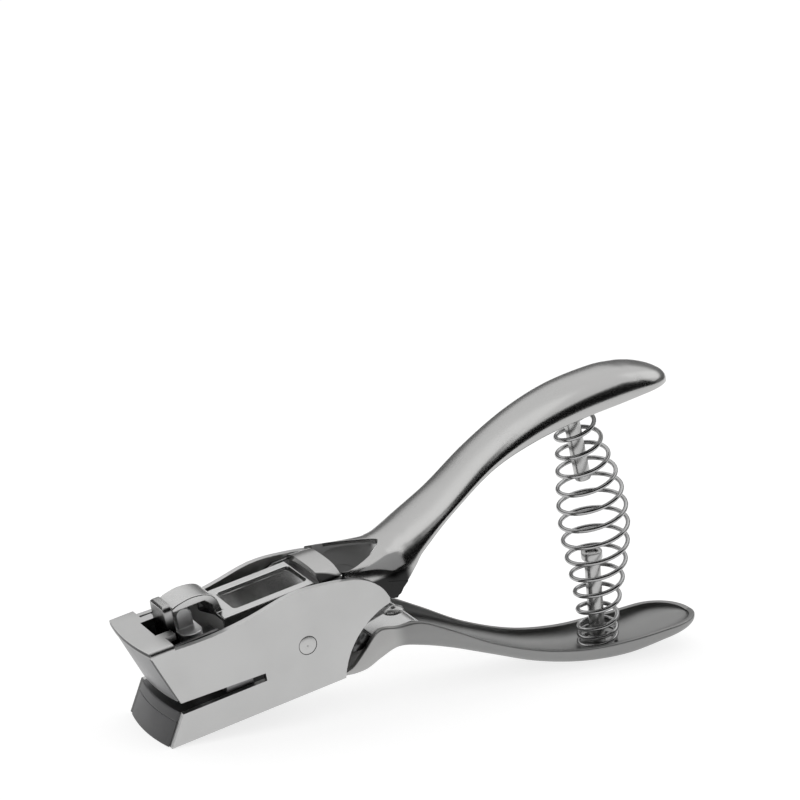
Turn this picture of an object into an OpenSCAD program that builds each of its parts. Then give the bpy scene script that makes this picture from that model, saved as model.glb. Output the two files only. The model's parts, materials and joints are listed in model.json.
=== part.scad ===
// Hand-held slot punch for id cards. Two sprung handles drive a slot-shaped punch
// through a card that is pushed into the throat of the head.
//
// Every piece is drawn in the frame of the head: the origin is the pivot axis,
// +X points along the throat towards the handle ends, +Y across the head and +Z up.
// standing() then turns the tool onto its lower jaw and the belly of its lower handle.

/* [Head] */
// Width over the two side plates
head_w = 24; // [23:0.5:26]
// Thickness of the folded side sheet
plate_t = 1.5; // [1.2:0.1:1.6]
// From the pivot forward to the front corners of the jaws
head_front = 37; // [36:0.5:40]
// Height of the top strip over the pivot axis
head_top = 12.6; // [12.5:0.1:13.5]
// Depth of the lower jaw under the pivot axis
jaw_drop = 11.6; // [11.4:0.1:13]
// How far the free edges of the side plates lie under the top strip
edge_drop = 1.3; // [1:0.1:1.8]
// Outer radius of the two top bends
bend_r = 1; // [0.6:0.1:1.4]
// How far the fronts bulge forward at mid width
front_bow = 1.2; // [0.6:0.1:1.8]
// How far the mouth of the throat is set back from the front corners
mouth_setback = 4.4; // [3:0.2:5]
// Room in front of the hook plate for its swing, up to the notch in the top strip
hook_room = 3.1; // [3.1:0.1:3.4]
// Length of the two tabs beside the notch
tab_len = 3.8; // [3.2:0.1:4.2]
// Half width over the two tabs
tab_half = 7; // [6.6:0.1:8]
// How much shallower the slits outside the tabs are than the notch
slit_step = 1.2; // [0.6:0.1:1.8]

/* [Throat] */
// Depth of the throat floor under the pivot axis
throat_floor = 4.5; // [4.3:0.1:5]
// Height of the throat at its mouth
mouth_gap = 2.8; // [2.6:0.1:3.2]
// Height of the throat at its closed end
end_gap = 1.9; // [1.6:0.1:2.2]
// From the pivot forward to the closed end of the throat
throat_end = 11.4; // [10:0.2:13]
// From the punch axis back to the face that stops the card
card_margin = 3.45; // [3:0.05:4.5]
// Length of the card stop
stop_len = 6.8; // [5:0.2:7.4]

/* [Punch] */
// Length of the slot that is cut, across the head
slot_len = 14; // [12:0.5:15]
// Width of the slot that is cut
slot_w = 3; // [2.6:0.1:3.4]
// From the pivot forward to the punch axis
punch_x = 24.25; // [24:0.05:24.5]
// Length of the punch head, across the tool
punch_head_len = 14.6; // [14:0.2:15.6]
// Width of the punch head, along the tool
punch_head_w = 5.5; // [5:0.1:5.6]
// Height of the underside of the punch head over the pivot axis
punch_head_z = 8.5; // [8.4:0.1:9]
// Thickness of the punch head
punch_head_t = 2.5; // [2:0.1:2.6]
// Radius of the rounded boss that the lever presses on
boss_r = 1.9; // [1.7:0.1:2]
// Width of that boss, across the tool
boss_w = 5.6; // [4:0.2:7]
// Depth of the hollow ground into the cutting end
shear_depth = 0.6; // [0.3:0.1:0.9]

/* [Dies] */
// Thickness of the die plate
die_plate_t = 2; // [1.6:0.1:2.4]
// How far the chute under the die is wider than the slot, on each side
chute_relief = 0.6; // [0.3:0.1:1]
// Height of the guide block's floor over the pivot axis
guide_floor = 2.6; // [2:0.1:3]
// Thickness of those side walls
guide_wall_t = 1; // [0.8:0.1:1.2]
// Gap between those side walls and the side plates
guide_wall_gap = 0.6; // [0.4:0.1:0.8]
// Thickness of the front wall of the guide block at its top
guide_front_t = 3.4; // [2.6:0.1:3.6]
// Wall of the guide left in front of the punch
guide_lip = 0.75; // [0.6:0.05:1]
// Length of the guide block's side walls
guide_wall_len = 14.3; // [12:0.1:15]
// Height of the pocket floor that the hook swings over, over the pivot axis
pocket_floor = 0.2; // [0:0.1:0.4]
// From the pivot forward to the rear of the lower jaw's block
die_block_end = 4; // [4:0.5:13]

/* [Lever] */
// Thickness of the lever's sheet
lever_t = 1.2; // [1:0.1:1.4]
// Height of the lever's top web over the pivot axis
lever_top = 12.2; // [11.8:0.1:12.4]
// From the pivot forward to the front face of the hook plate
hook_front = 29.3; // [29.2:0.05:29.5]
// Radius of the bend at the end of the tail
tail_bend = 3.5; // [3:0.1:3.6]
// From the end of the tail back to its rivet
rivet_inset = 3.6; // [3.5:0.1:5]
// From the pivot forward to the front of the lever's web
lever_front = 17; // [16:0.2:17.4]
// Length of the window in the web
window_len = 18.6; // [16:0.2:19]
// Width of the window in the web
window_w = 10.4; // [9:0.2:11]
// Length of the web's band in front of the window
front_band = 4; // [3:0.2:4.4]
// Width of the tongue and of the hook plate
tongue_w = 7.8; // [6:0.2:8]
// Height of the tongue's underside over the pivot axis
tongue_z = 16; // [16:0.05:16.2]
// Thickness of the tongue
tongue_t = 1.9; // [1.5:0.1:2.1]
// Thickness of the hook plate
hook_t = 2.2; // [1.8:0.1:2.3]
// Height of the hook plate's top over the pivot axis
hook_top = 18; // [17.9:0.1:18.2]
// Chamfer along the top front edge of the hook plate
hook_chamfer = 0.6; // [0.5:0.1:0.8]
// Height of the hook's foot over the pivot axis
hook_foot = 7; // [6.9:0.05:7.2]
// Length of the foot that reaches under the punch head
hook_reach = 1; // [0.8:0.05:1.05]
// Height of the tail's top under the pivot axis
tail_drop = 6.3; // [6:0.1:6.6]
// Depth of the cheeks in front of the tail's bend, under the pivot axis
cheek_foot = 8.6; // [8.2:0.1:8.7]
// From the pivot back to the end of the tail
tail_end = 31; // [30:0.2:32]

/* [Handles] */
// Wall of the stamped handles
handle_t = 1.4; // [1.2:0.1:1.5]
// Thickness of its cheeks at the pivot
handle_cheek_t = 1.2; // [1:0.05:1.25]
// From the outside of the upper handle to the edge of the cut-out in its web
cutout_edge = 0.85; // [0.8:0.05:1.2]
// From the pivot back to the front of the cut-out
cutout_front = 12.5; // [12:0.1:14]
// From the pivot back to where the cut-out starts to narrow
cutout_shoulder = 14; // [13:0.5:16]
// From the pivot back to the rear of the cut-out
cutout_rear = 27; // [26:0.2:29]
// Fullness of the cut-out's rear: 1 is a pointed arch and 2 half an ellipse
cutout_arch = 1.3; // [1.2:0.1:2]

/* [Pivot and studs] */
// Diameter of the pivot pin
pin_d = 4.6; // [4:0.1:5]
// How far the pin's ends lie under the side faces
pin_recess = 0.05; // [0.02:0.01:0.1]
// Chamfer on the pin's ends
pin_chamfer = 0.3; // [0.1:0.1:0.5]
// Diameter of the pivot washers
washer_d = 8.6; // [7:0.2:10]
// Thickness of the pivot washers
washer_t = 1.1; // [1:0.05:1.3]
// Diameter of the rivet in the lever's tail
rivet_d = 3; // [2.4:0.1:3.4]
// Diameter of the rivet's head
rivet_head_d = 5; // [4.6:0.1:5.6]
// Thickness of the rivet's head
rivet_head_t = 0.8; // [0.6:0.1:1.2]
// Diameter of the two spring studs
stud_d = 3.9; // [3.4:0.1:4.4]
// Diameter of the head on the lower stud
stud_head_d = 5.2; // [4.6:0.1:5.6]
// How far the studs lean towards each other, in degrees
stud_lean = 5.5; // [4:0.5:6]
// Thickness of the head on the lower stud
stud_head_t = 2; // [1.4:0.1:2.6]
// Length of the upper stud
upper_stud_len = 23.8; // [20:0.2:24]
// Length of the lower stud
lower_stud_len = 25.6; // [20:0.2:25.8]

/* [Spring] */
// Diameter of the spring wire
wire_d = 1.1; // [0.9:0.05:1.3]
// Outer diameter of the spring's end turns
spring_end_d = 10.4; // [10:0.2:11.4]
// Outer diameter of the barrel at mid length
spring_mid_d = 17.6; // [15:0.2:18]
// Closely wound turns at each end
close_turns = 2.5; // [1.5:0.5:3]
// Pitch of the closely wound turns
close_pitch = 1.95; // [1.9:0.05:2.1]
// Open turns between them
open_turns = 12; // [10:1:13]
// How far the spring bows out from the line of its seats
spring_bow = 3.2; // [1:0.2:3.6]
// Lean of its lower turns, in degrees, up towards the handle ends
low_lean = -3; // [-4:0.5:0]
// Lean of its upper turns, in degrees, up towards the handle ends
high_lean = 7; // [0:0.5:8]

/* [Fits] */
// Gap between the upper handle and each side plate
handle_fit = 0.05; // [0.05:0.01:0.1]
// Gap between the lever's tail and each wall of the lower handle
lower_fit = 0.2; // [0.15:0.05:0.3]
// Radial clearance of the lever and the washers on the pin
pin_fit = 0.05; // [0.02:0.01:0.1]
// Clearance all round the punch in its guide and die
punch_fit = 0.04; // [0.02:0.01:0.1]
// Side clearance of each washer, to the lever and to the cheek
side_fit = 0.05; // [0.02:0.01:0.1]
// Gap between a piece and the seat that carries it
seat_gap = 0.3; // [0.2:0.05:0.4]

/* [Hidden] */
$fn = 64;
eps = 0.01;
big = 60;
inner_w = head_w - 2 * plate_t;
pin_r = pin_d / 2;
bow_r = (pow(head_w / 2, 2) + pow(front_bow, 2)) / (2 * front_bow);
mouth_x = mouth_setback - head_front;
throat_top_mouth = mouth_gap - throat_floor;
throat_top_end = end_gap - throat_floor;
throat_slope = (throat_top_end - throat_top_mouth) / (-throat_end - mouth_x);
upper_rake = atan2(mouth_setback, head_top - bend_r - throat_top_mouth);
lower_rake = atan2(mouth_setback, jaw_drop - throat_floor);
stop_front = card_margin - punch_x;
stop_rear = stop_front + stop_len;

// The lever's tail, with the rivet through its web
tail_centre = [tail_end - tail_bend, -tail_drop - tail_bend];
tail_foot = -tail_drop - tail_bend;
tail_front = 17.8;
rivet_x = tail_end - rivet_inset;

// Opening in the top: a notch between two tabs, and a slit outside each tab
notch_half = tongue_w / 2 + 0.4;
notch_x = -hook_front - hook_room;
tab_x = notch_x + tab_len;
slit_x = notch_x + slit_step;

// Outline of a side plate behind the top strip: its free edge, then its rear tip
edge_z = head_top - edge_drop;
top_edge = [[slit_x, edge_z], [-22, 11], [-12, 11.8], [-1.5, 13.5], [7, 12.8], [15.7, 10.7],
            [20.3, 7.2], [22.2, 3.6]];
rear_arc = [25.8, -15.9];
rear_arc_r = 18.7;
rear_tip_angle = 101.5;
rear_foot_angle = 180 - asin((-jaw_drop - rear_arc.y) / rear_arc_r);
underside_z = head_top - plate_t;

// Stations of the stamped handles: [x, crest, rim, half width, squareness of the section].
// The crest is the closed side of the channel and the rim its open edge.
handle_root_w = inner_w - 2 * handle_fit;
root_half = handle_root_w / 2;
cheek_out = root_half - handle_fit;
cheek_in = cheek_out - handle_cheek_t;
lever_w = 2 * (cheek_in - washer_t - 2 * side_fit);
lower_half = lever_w / 2 + lower_fit + handle_t;
upper_stations = [[7.5, 14.2, 8.6, root_half, 6], [13, 14.2, 6, root_half, 6],
    [17, 13.3, 5.4, root_half, 4.8], [21, 12.7, 5, root_half, 4], [25, 12.6, 4.2, root_half, 3.2],
    [29, 13, 6.4, 10.2, 2.5], [34, 14.5, 10.2, 9.5, 2.3], [44, 18.7, 15.7, 8.1, 2.2],
    [56, 25.5, 21.9, 7.8, 2.2], [68, 30.5, 25.2, 8.4, 2.2], [80, 33.1, 26.6, 9.1, 2.3],
    [92, 33.4, 26.8, 9.2, 2.3], [98, 32.5, 26.8, 8.9, 2.2]];
upper_tip = [108.1, 26.9, 25.2];
lower_stations = [[8.6, 12.9, 12, lower_half - 0.2, 5], [11.5, 13.9, 10.6, lower_half, 5],
    [15, 14.3, 7.8, lower_half, 5],
    [19, 13.2, 4.7, lower_half, 5], [24, 12.2, 5.8, lower_half, 4.5], [30, 14.7, 7, lower_half, 3.6],
    [38, 19, 12.6, 9.2, 2.8], [48, 25, 20.2, 8.4, 2.4], [60, 32, 27, 8.4, 2.2],
    [72, 36.7, 31.3, 9, 2.3], [84, 39.4, 33.5, 9.3, 2.3], [95, 39.7, 34.7, 9.1, 2.2]];
lower_tip = [106.1, 38.4, 36.8];
steps = 3;
tip_steps = 8;
last_turn = 86;
sides = 16;

// Curve through a list of points: at parameter u between points i and i + 1
function through(s, i, u) =
    let (a = s[max(i - 1, 0)], b = s[i], c = s[i + 1], d = s[min(i + 2, len(s) - 1)])
    (2 * b + (c - a) * u + (2 * a - 5 * b + 4 * c - d) * u * u
     + (3 * b - a - 3 * c + d) * u * u * u) / 2;
function smooth(s, n) =
    [for (i = [0 : len(s) - 2]) for (k = [0 : n - 1]) through(s, i, k / n), s[len(s) - 1]];
function arc(c, r, a0, a1, n) =
    [for (i = [0 : n]) let (a = a0 + (a1 - a0) * i / n) [c.x + r * cos(a), c.y + r * sin(a)]];

// Height of a handle's crest at x, read along its smooth stations
function crest_at(rows, x) = lookup(x, [for (r = rows) [r[0], r[1]]]);
upper_rows = smooth(upper_stations, steps);
lower_rows = smooth(lower_stations, steps);

// How the tool stands: on the front edge of its lower jaw and on the belly of its lower handle
nose = [-head_front - front_bow, -jaw_drop];
belly = [for (r = lower_rows) [r[0], -r[1]]];
stand_tilt = max([for (p = belly) atan2(nose.y - p.y, p.x - nose.x)]);
function stand_x(p) = p.x * cos(stand_tilt) - p.y * sin(stand_tilt);
function stand_z(p) = p.x * sin(stand_tilt) + p.y * cos(stand_tilt);
front_x = stand_x([-head_front - front_bow, head_top]);
rear_x = stand_x([lower_tip[0], -lower_tip[1]]);
shift_x = -(front_x + rear_x) / 2;
shift_z = -stand_z(nose);

// Seats of the spring and its studs on the floors of the two handles
stud_x = [81.8, 79.2];
upper_lean = 2;
upper_floor = crest_at(upper_rows, stud_x[0]) - handle_t;
lower_floor = handle_t - crest_at(lower_rows, stud_x[1]);

nickel = [0.74, 0.74, 0.74];
tool_steel = [0.52, 0.52, 0.53];
wire_steel = [0.8, 0.8, 0.8];

// Turns a piece from the frame of the head onto the tool's feet
module standing() {
    translate([shift_x, 0, shift_z]) rotate([0, -stand_tilt, 0]) children();
}

// Extrudes an outline drawn in X and Z across the tool, from y0 to y1
module across(y0, y1) {
    translate([0, y1, 0]) rotate([90, 0, 0]) linear_extrude(y1 - y0) children();
}

module both_sides() {
    children();
    mirror([0, 1, 0]) children();
}

// A cylinder along Y between y0 and y1
module rod(r, y0, y1) {
    translate([0, y1, 0]) rotate([90, 0, 0]) cylinder(r = r, h = y1 - y0);
}

// A slot-shaped bar, upright at the punch axis
module slot_bar(len, w, z0, z1) {
    translate([-punch_x, 0, z0]) union() {
        for (s = [-1, 1]) translate([0, s * (len - w) / 2, 0]) cylinder(d = w, h = z1 - z0);
        translate([-w / 2, -(len - w) / 2, 0]) cube([w, len - w, z1 - z0]);
    }
}

// The bowed front: a large drum whose skin leans with the jaw
module bowed_front(z, lean) {
    translate([-head_front, 0, z]) rotate([0, lean, 0])
        translate([bow_r - front_bow, 0, -big / 2]) cylinder(r = bow_r, h = big, $fn = 360);
}

// Height of the throat's roof at x
function throat_top(x) = throat_top_mouth + throat_slope * (x - mouth_x);

module plate_outline() {
    polygon(concat(
        [[-head_front, head_top - bend_r], [mouth_x, throat_top_mouth],
         [-throat_end, throat_top_end], [-throat_end, -throat_floor], [mouth_x, -throat_floor],
         [-head_front, -jaw_drop]],
        arc(rear_arc, rear_arc_r, rear_foot_angle, rear_tip_angle, 12),
        [for (i = [len(top_edge) * 4 - 4 : -1 : 0]) smooth(top_edge, 4)[i]],
        [[slit_x, head_top - bend_r]]));
}

// Section of the top strip with its two bends, in Y and Z
module strip_section() {
    half = head_w / 2;
    polygon(concat(
        arc([half - bend_r, head_top - bend_r], bend_r, 0, 90, 8),
        arc([bend_r - half, head_top - bend_r], bend_r, 90, 180, 8),
        [[-half, underside_z], [half, underside_z]]));
}

// One sheet folded over the head: two side plates joined by a short strip on top
module housing_shell() {
    color(nickel) standing() difference() {
        union() {
            both_sides() across(inner_w / 2, head_w / 2) plate_outline();
            difference() {
                intersection() {
                    translate([-big, 0, 0]) rotate([90, 0, 90]) linear_extrude(big + tab_x)
                        strip_section();
                    bowed_front(0, 0);
                }
                translate([notch_x, -notch_half, 0]) cube([big, 2 * notch_half, big]);
                both_sides() translate([slit_x, tab_half, 0]) cube([big, big, big]);
            }
        }
        rod(pin_r, -head_w, head_w);
    }
}

// The upper jaw: a block that guides the punch, with a pocket for the moving heads
module guide_block() {
    pocket_x = -head_front + guide_front_t;
    wall_y = inner_w / 2 - guide_wall_gap;
    color(tool_steel) standing() difference() {
        intersection() {
            union() {
                across(-inner_w / 2, inner_w / 2) polygon([[-big, throat_top_mouth],
                    [mouth_x, throat_top_mouth], [stop_rear, throat_top(stop_rear)],
                    [stop_rear, guide_floor], [pocket_x, guide_floor], [pocket_x, underside_z],
                    [-big, underside_z]]);
                both_sides() translate([pocket_x - eps, wall_y - guide_wall_t, guide_floor - eps])
                    cube([guide_wall_len, guide_wall_t, underside_z - guide_floor]);
            }
            bowed_front(head_top - bend_r, -upper_rake);
            bowed_front(0, 0);
        }
        slot_bar(slot_len + 2 * punch_fit, slot_w + 2 * punch_fit, -big, 2 * big);
        translate([pocket_x, -notch_half, pocket_floor])
            cube([-punch_x - slot_w / 2 - guide_lip - pocket_x, 2 * notch_half, big]);
    }
}

// The block that stops the card, between the upper and the lower jaw
module card_stop() {
    color(tool_steel) standing() across(-inner_w / 2, inner_w / 2)
        polygon([[stop_front, -throat_floor], [stop_rear, -throat_floor],
                 [stop_rear, throat_top(stop_rear)], [stop_front, throat_top(stop_front)]]);
}

// The hardened plate in the floor of the throat that the punch shears against
module die_plate() {
    color(nickel) standing() difference() {
        intersection() {
            across(-inner_w / 2, inner_w / 2)
                polygon([[-big, -throat_floor], [stop_rear, -throat_floor],
                         [stop_rear, -throat_floor - die_plate_t], [-big, -throat_floor - die_plate_t]]);
            bowed_front(-jaw_drop, lower_rake);
        }
        slot_bar(slot_len + 2 * punch_fit, slot_w + 2 * punch_fit, -big, 2 * big);
    }
}

// The lower jaw: the block under the die plate, with the chute for the cut pieces
module die_block() {
    color(tool_steel) standing() difference() {
        intersection() {
            across(-inner_w / 2, inner_w / 2)
                polygon([[-big, -throat_floor - die_plate_t],
                         [-die_block_end, -throat_floor - die_plate_t],
                         [-die_block_end, -jaw_drop], [-big, -jaw_drop]]);
            bowed_front(-jaw_drop, lower_rake);
        }
        slot_bar(slot_len + 2 * chute_relief, slot_w + 2 * chute_relief, -big, 2 * big);
    }
}

// The riveted pin that everything turns on, its ends a hair under the side faces
module pivot_pin() {
    half = head_w / 2 - pin_recess;
    color(nickel) standing() union() {
        rod(pin_r, -half + pin_chamfer, half - pin_chamfer);
        both_sides() translate([0, half, 0]) rotate([90, 0, 0])
            cylinder(r1 = pin_r - pin_chamfer, r2 = pin_r, h = pin_chamfer);
    }
}

// A ring on the pin that fills the gap between the lever and a cheek of the upper handle
module washer() {
    difference() {
        rod(washer_d / 2, lever_w / 2 + side_fit, cheek_in - side_fit);
        rod(pin_r + pin_fit, 0, head_w);
    }
}

module washer_far() {
    color(nickel) standing() washer();
}

module washer_near() {
    color(nickel) standing() mirror([0, 1, 0]) washer();
}

// Outline of a channel's section at one station, from its left rim over the crest to its right
function section(row, inset) =
    [for (k = [0 : sides]) let (a = 180 * k / sides, e = 2 / row[4])
        [-(row[3] - inset) * sign(cos(a)) * pow(abs(cos(a)), e),
         row[2] + (row[1] - inset - row[2]) * pow(sin(a), e)]];

// A ring of the channel's wall: the outer line, then the inner line back again
function ring(outer, inner, wall) =
    let (o = section(outer, 0), i = section(inner, wall))
    concat([for (p = o) [outer[0], p.x, p.y]],
           [for (k = [sides : -1 : 0]) [inner[0], i[k].x, i[k].y]]);

// A station on the round end of a channel: a quarter ellipse in plan that starts along the
// slopes of the last two stations. The inner line is the same, but one wall shorter.
function tip_row(prev, last, tip, turn, short) =
    let (c = cos(turn), run = (tip.x - short - last[0]) * sin(turn), whole = tip.x - last[0],
         d = (last - prev) / (last[0] - prev[0]))
    [last[0] + run,
     last[1] + d[1] * run - (last[1] + d[1] * whole - tip.y) * (1 - c),
     last[2] + d[2] * run - (last[2] + d[2] * whole - tip.z) * (1 - c),
     short + (last[3] - short) * c, last[4]];

// A stamped channel through its stations, with a closed round end
module channel(rows, tip, wall) {
    last = rows[len(rows) - 1];
    prev = rows[len(rows) - 2];
    rings = concat([for (r = rows) ring(r, r, wall)],
        [for (i = [1 : tip_steps]) let (t = last_turn * i / tip_steps)
            ring(tip_row(prev, last, tip, t, 0), tip_row(prev, last, tip, t, wall), wall)]);
    n = sides + 1;
    size = 2 * n;
    end = len(rings) - 1;
    mid = sides / 2;
    skin = [for (j = [0 : end - 1]) for (i = [0 : size - 1]) let (k = (i + 1) % size)
        each [[j * size + i, j * size + k, (j + 1) * size + k],
              [j * size + i, (j + 1) * size + k, (j + 1) * size + i]]];
    root = [for (k = [0 : n - 2])
        each [[k, size - 1 - k, k + 1], [k + 1, size - 1 - k, size - 2 - k]]];
    e = end * size;
    nose = [for (k = [0 : mid - 1])
        each [[e + k, e + k + 1, e + n - 1 - k], [e + k + 1, e + n - 2 - k, e + n - 1 - k]]];
    floor_end = [for (k = [0 : mid - 1])
        each [[e + size - 1 - k, e + n + k, e + size - 2 - k],
              [e + size - 2 - k, e + n + k, e + n + k + 1]]];
    lip = [[e, e + n - 1, e + n], [e, e + n, e + size - 1]];
    faces = [for (f = concat(skin, root, nose, floor_end, lip))
        if (f[0] != f[1] && f[1] != f[2] && f[0] != f[2]) f];
    polyhedron(points = [for (r = rings) each r], faces = faces);
}

// Plan of the cut-out that the lever's tail is seen through: square in front, and narrowing
// behind its shoulder as an arch
module cutout() {
    half = root_half - cutout_edge;
    run = cutout_rear - cutout_shoulder;
    e = 2 / cutout_arch;
    polygon(concat([[cutout_front, half]],
        [for (k = [0 : 24]) let (c = cos(7.5 * k))
            [cutout_shoulder + run * pow(sin(7.5 * k), e), half * sign(c) * pow(abs(c), e)]],
        [[cutout_front, -half]]));
}

// The fixed handle: its cheeks are held by the pivot, and its web bridges the lever
module upper_handle() {
    cheek = [[7.5, 12], [13, 12], [17, 9.5], [21, 7.5], [27, 5.6], [28.3, 5], [26.1, 3.2],
             [24.8, 1.9], [22, 2.6], [19, 2.6], [14, -0.6], [10.5, -3.5], [5, -6], [-4, -6], [-6, -3], [-6, 4],
             [-2, 9], [4, 12]];
    color(nickel) standing() difference() {
        union() {
            difference() {
                channel(upper_rows, upper_tip, handle_t);
                linear_extrude(big) cutout();
            }
            both_sides() across(cheek_in, cheek_out) polygon(cheek);
        }
        rod(pin_r, -head_w, head_w);
    }
}

// A stud that stands on a handle's floor inside the spring, with its edge chamfered
module stud(len, head_d, head_t) {
    chamfer = 0.5;
    cylinder(d = stud_d, h = len - chamfer);
    translate([0, 0, len - head_t]) cylinder(d = head_d, h = head_t - chamfer);
    translate([0, 0, len - chamfer]) cylinder(d1 = head_d, d2 = head_d - 2 * chamfer, h = chamfer);
}

module upper_stud() {
    color(nickel) standing() translate([stud_x[0], 0, upper_floor - seat_gap])
        rotate([0, 180 - upper_lean, 0]) stud(upper_stud_len, stud_d, stud_head_t);
}

module lower_stud() {
    color(nickel) standing() translate([stud_x[1], 0, lower_floor + seat_gap])
        rotate([0, stud_lean, 0]) stud(lower_stud_len, stud_head_d, stud_head_t);
}

// Centre line of the barrel spring, t in turns from its lower end
wire_steps = 8;
wire_sides = 6;
coil_end_r = (spring_end_d - wire_d) / 2;
coil_mid_r = (spring_mid_d - wire_d) / 2;
end_bend = 0.85 * wire_d;
end_reach = end_bend + wire_d + seat_gap;
spring_low = handle_t - crest_at(lower_rows, stud_x[1] + coil_end_r) + end_reach;
spring_high = crest_at(upper_rows, stud_x[0] + coil_end_r) - handle_t - end_reach;
spring_rise = spring_high - spring_low;
spring_turns = open_turns + 2 * close_turns;
open_pitch = (spring_rise - 2 * close_turns * close_pitch) / open_turns;
barrel_reach = 1.1;
function spring_z(t) = spring_low + close_pitch * min(t, close_turns)
    + open_pitch * min(max(t - close_turns, 0), open_turns)
    + close_pitch * max(t - close_turns - open_turns, 0);
// 0 over the close turns at the ends of the spring, rising smoothly to 1 at mid length
function barrel(z) =
    let (h = min(1, abs(2 * z - spring_high - spring_low) / spring_rise * barrel_reach))
    pow(cos(90 * h), 2);
function spring_axis(f) = stud_x[1] + (stud_x[0] - stud_x[1]) * f + spring_bow * sin(180 * f);
// Lean of the turns along the spring, which fades out where its ends sit on the handles
function coil_lean(f) = (low_lean + (high_lean - low_lean) * f) * min(1, 4 * sin(180 * f));
function spring_point(t) =
    let (z = spring_z(t), r = coil_end_r + (coil_mid_r - coil_end_r) * barrel(z),
         f = (z - spring_low) / spring_rise, lean = coil_lean(f))
    [spring_axis(f) + r * cos(360 * t) * cos(lean), r * sin(360 * t),
     z + r * cos(360 * t) * sin(lean)];
helix = [for (i = [0 : spring_turns * wire_steps]) spring_point(i / wire_steps)];
// Each end of the wire turns off the coil and runs straight at its seat for one diameter
function wire_end(p, dir) = concat(
    [for (a = [30, 60, 90]) p + dir * [0, end_bend * sin(a), end_bend * (1 - cos(a))]],
    [p + dir * [0, end_bend, end_bend + wire_d]]);
low_end = wire_end(helix[0], -1);
high_end = wire_end(helix[len(helix) - 1], 1);
wire_path = concat([for (k = [len(low_end) - 1 : -1 : 0]) low_end[k]], helix, high_end);

function unit(v) = v / norm(v);
// A ring round the wire, square to its path. Its first axis points away from the coil's axis.
function wire_ring(i) =
    let (a = wire_path[max(i - 1, 0)], b = wire_path[min(i + 1, len(wire_path) - 1)],
         p = wire_path[i], t = unit(b - a),
         f = min(1, max(0, (p.z - spring_low) / spring_rise)),
         c = [p.x - spring_axis(f), p.y, 0], out = unit(c - t * (c * t)), up = cross(t, out))
    [for (k = [0 : wire_sides - 1]) let (g = 360 * k / wire_sides)
        p + wire_d / 2 * (out * cos(g) + up * sin(g))];

// Least gap of the wire to itself, between points more than half a turn apart
spring_gap = min([for (i = [0 : len(wire_path) - 6]) for (j = [i + 5 : len(wire_path) - 1])
    norm(wire_path[i] - wire_path[j])]) - wire_d;
echo(spring_gap = spring_gap, open_pitch = open_pitch);

module handle_spring() {
    rings = [for (i = [0 : len(wire_path) - 1]) wire_ring(i)];
    n = wire_sides;
    last = (len(rings) - 1) * n;
    skin = [for (j = [0 : len(rings) - 2]) for (k = [0 : n - 1]) let (m = (k + 1) % n)
        each [[j * n + k, (j + 1) * n + m, j * n + m], [j * n + k, (j + 1) * n + k, (j + 1) * n + m]]];
    caps = [for (k = [1 : n - 2]) each [[0, k, k + 1], [last, last + k + 1, last + k]]];
    color(wire_steel) standing() polyhedron(points = [for (r = rings) each r],
                                            faces = concat(skin, caps));
}

// Side view of the lever's cheeks, from the front of its web round under the pivot
module lever_cheek() {
    polygon(concat([[-lever_front, lever_top], [-lever_front, 8.6], [-9, 3], [-6, -3], [-2, -6],
                    [6, -7], [13, -cheek_foot], [26.5, -cheek_foot], [28.5, tail_foot]],
        arc(tail_centre, tail_bend, 0, 90, 10),
        [[17.5, -tail_drop], [15, -3], [8.5, 10.5], [6, lever_top]]));
}

// The lever's webs, one sheet thick: in front over the window, and round the end of the tail
module lever_webs() {
    polygon([[-lever_front, lever_top], [-lever_front, lever_top - lever_t],
             [5.5, lever_top - lever_t], [7.4, 9.9], [8.5, 10.5], [6, lever_top]]);
    polygon(concat([[tail_front, -tail_drop - lever_t]],
        arc(tail_centre, tail_bend - lever_t, 90, 0, 10),
        arc(tail_centre, tail_bend, 0, 90, 10), [[tail_front, -tail_drop]]));
}

// Side view of the tongue: it rises from the web's front band and arches over the punch
module tongue_view() {
    root = lever_top - lever_t / 2;
    rear = hook_t - hook_front;
    crown = tongue_z + tongue_t;
    top = smooth([[1.8 - lever_front, root], [0.8 - lever_front, crown - 2.5],
                  [-1.2 - lever_front, crown - 0.5], [-22, crown + 0.2], [-25.4, crown - 0.3],
                  [rear, crown - 1]], 4);
    polygon(concat(top, [[rear, tongue_z], [-2.2 - lever_front, tongue_z],
                         [-0.6 - lever_front, tongue_z - 1.6], [-lever_front, root]]));
}

// An opening with round corners, cut down through a web
module window(x, len, w, r) {
    translate([x, 0, lever_top - 2 * lever_t]) linear_extrude(3 * lever_t) union() {
        translate([r, -w / 2]) square([len - 2 * r, w]);
        translate([0, r - w / 2]) square([len, w - 2 * r]);
        for (i = [r, len - r]) for (j = [r - w / 2, w / 2 - r]) translate([i, j]) circle(r = r);
    }
}

// The punch lever: a folded channel that turns on the pin. A tongue on its front web presses
// the punch down, and its tail is riveted into the lower handle.
module punch_lever() {
    half = lever_w / 2;
    color(nickel) standing() difference() {
        union() {
            both_sides() across(half - lever_t, half) lever_cheek();
            across(-half, half) lever_webs();
            across(-tongue_w / 2, tongue_w / 2) tongue_view();
        }
        window(front_band - lever_front, window_len, window_w, 1);
        rod(pin_r + pin_fit, -head_w, head_w);
        translate([rivet_x, 0, -big]) cylinder(d = rivet_d, h = big);
    }
}

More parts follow.
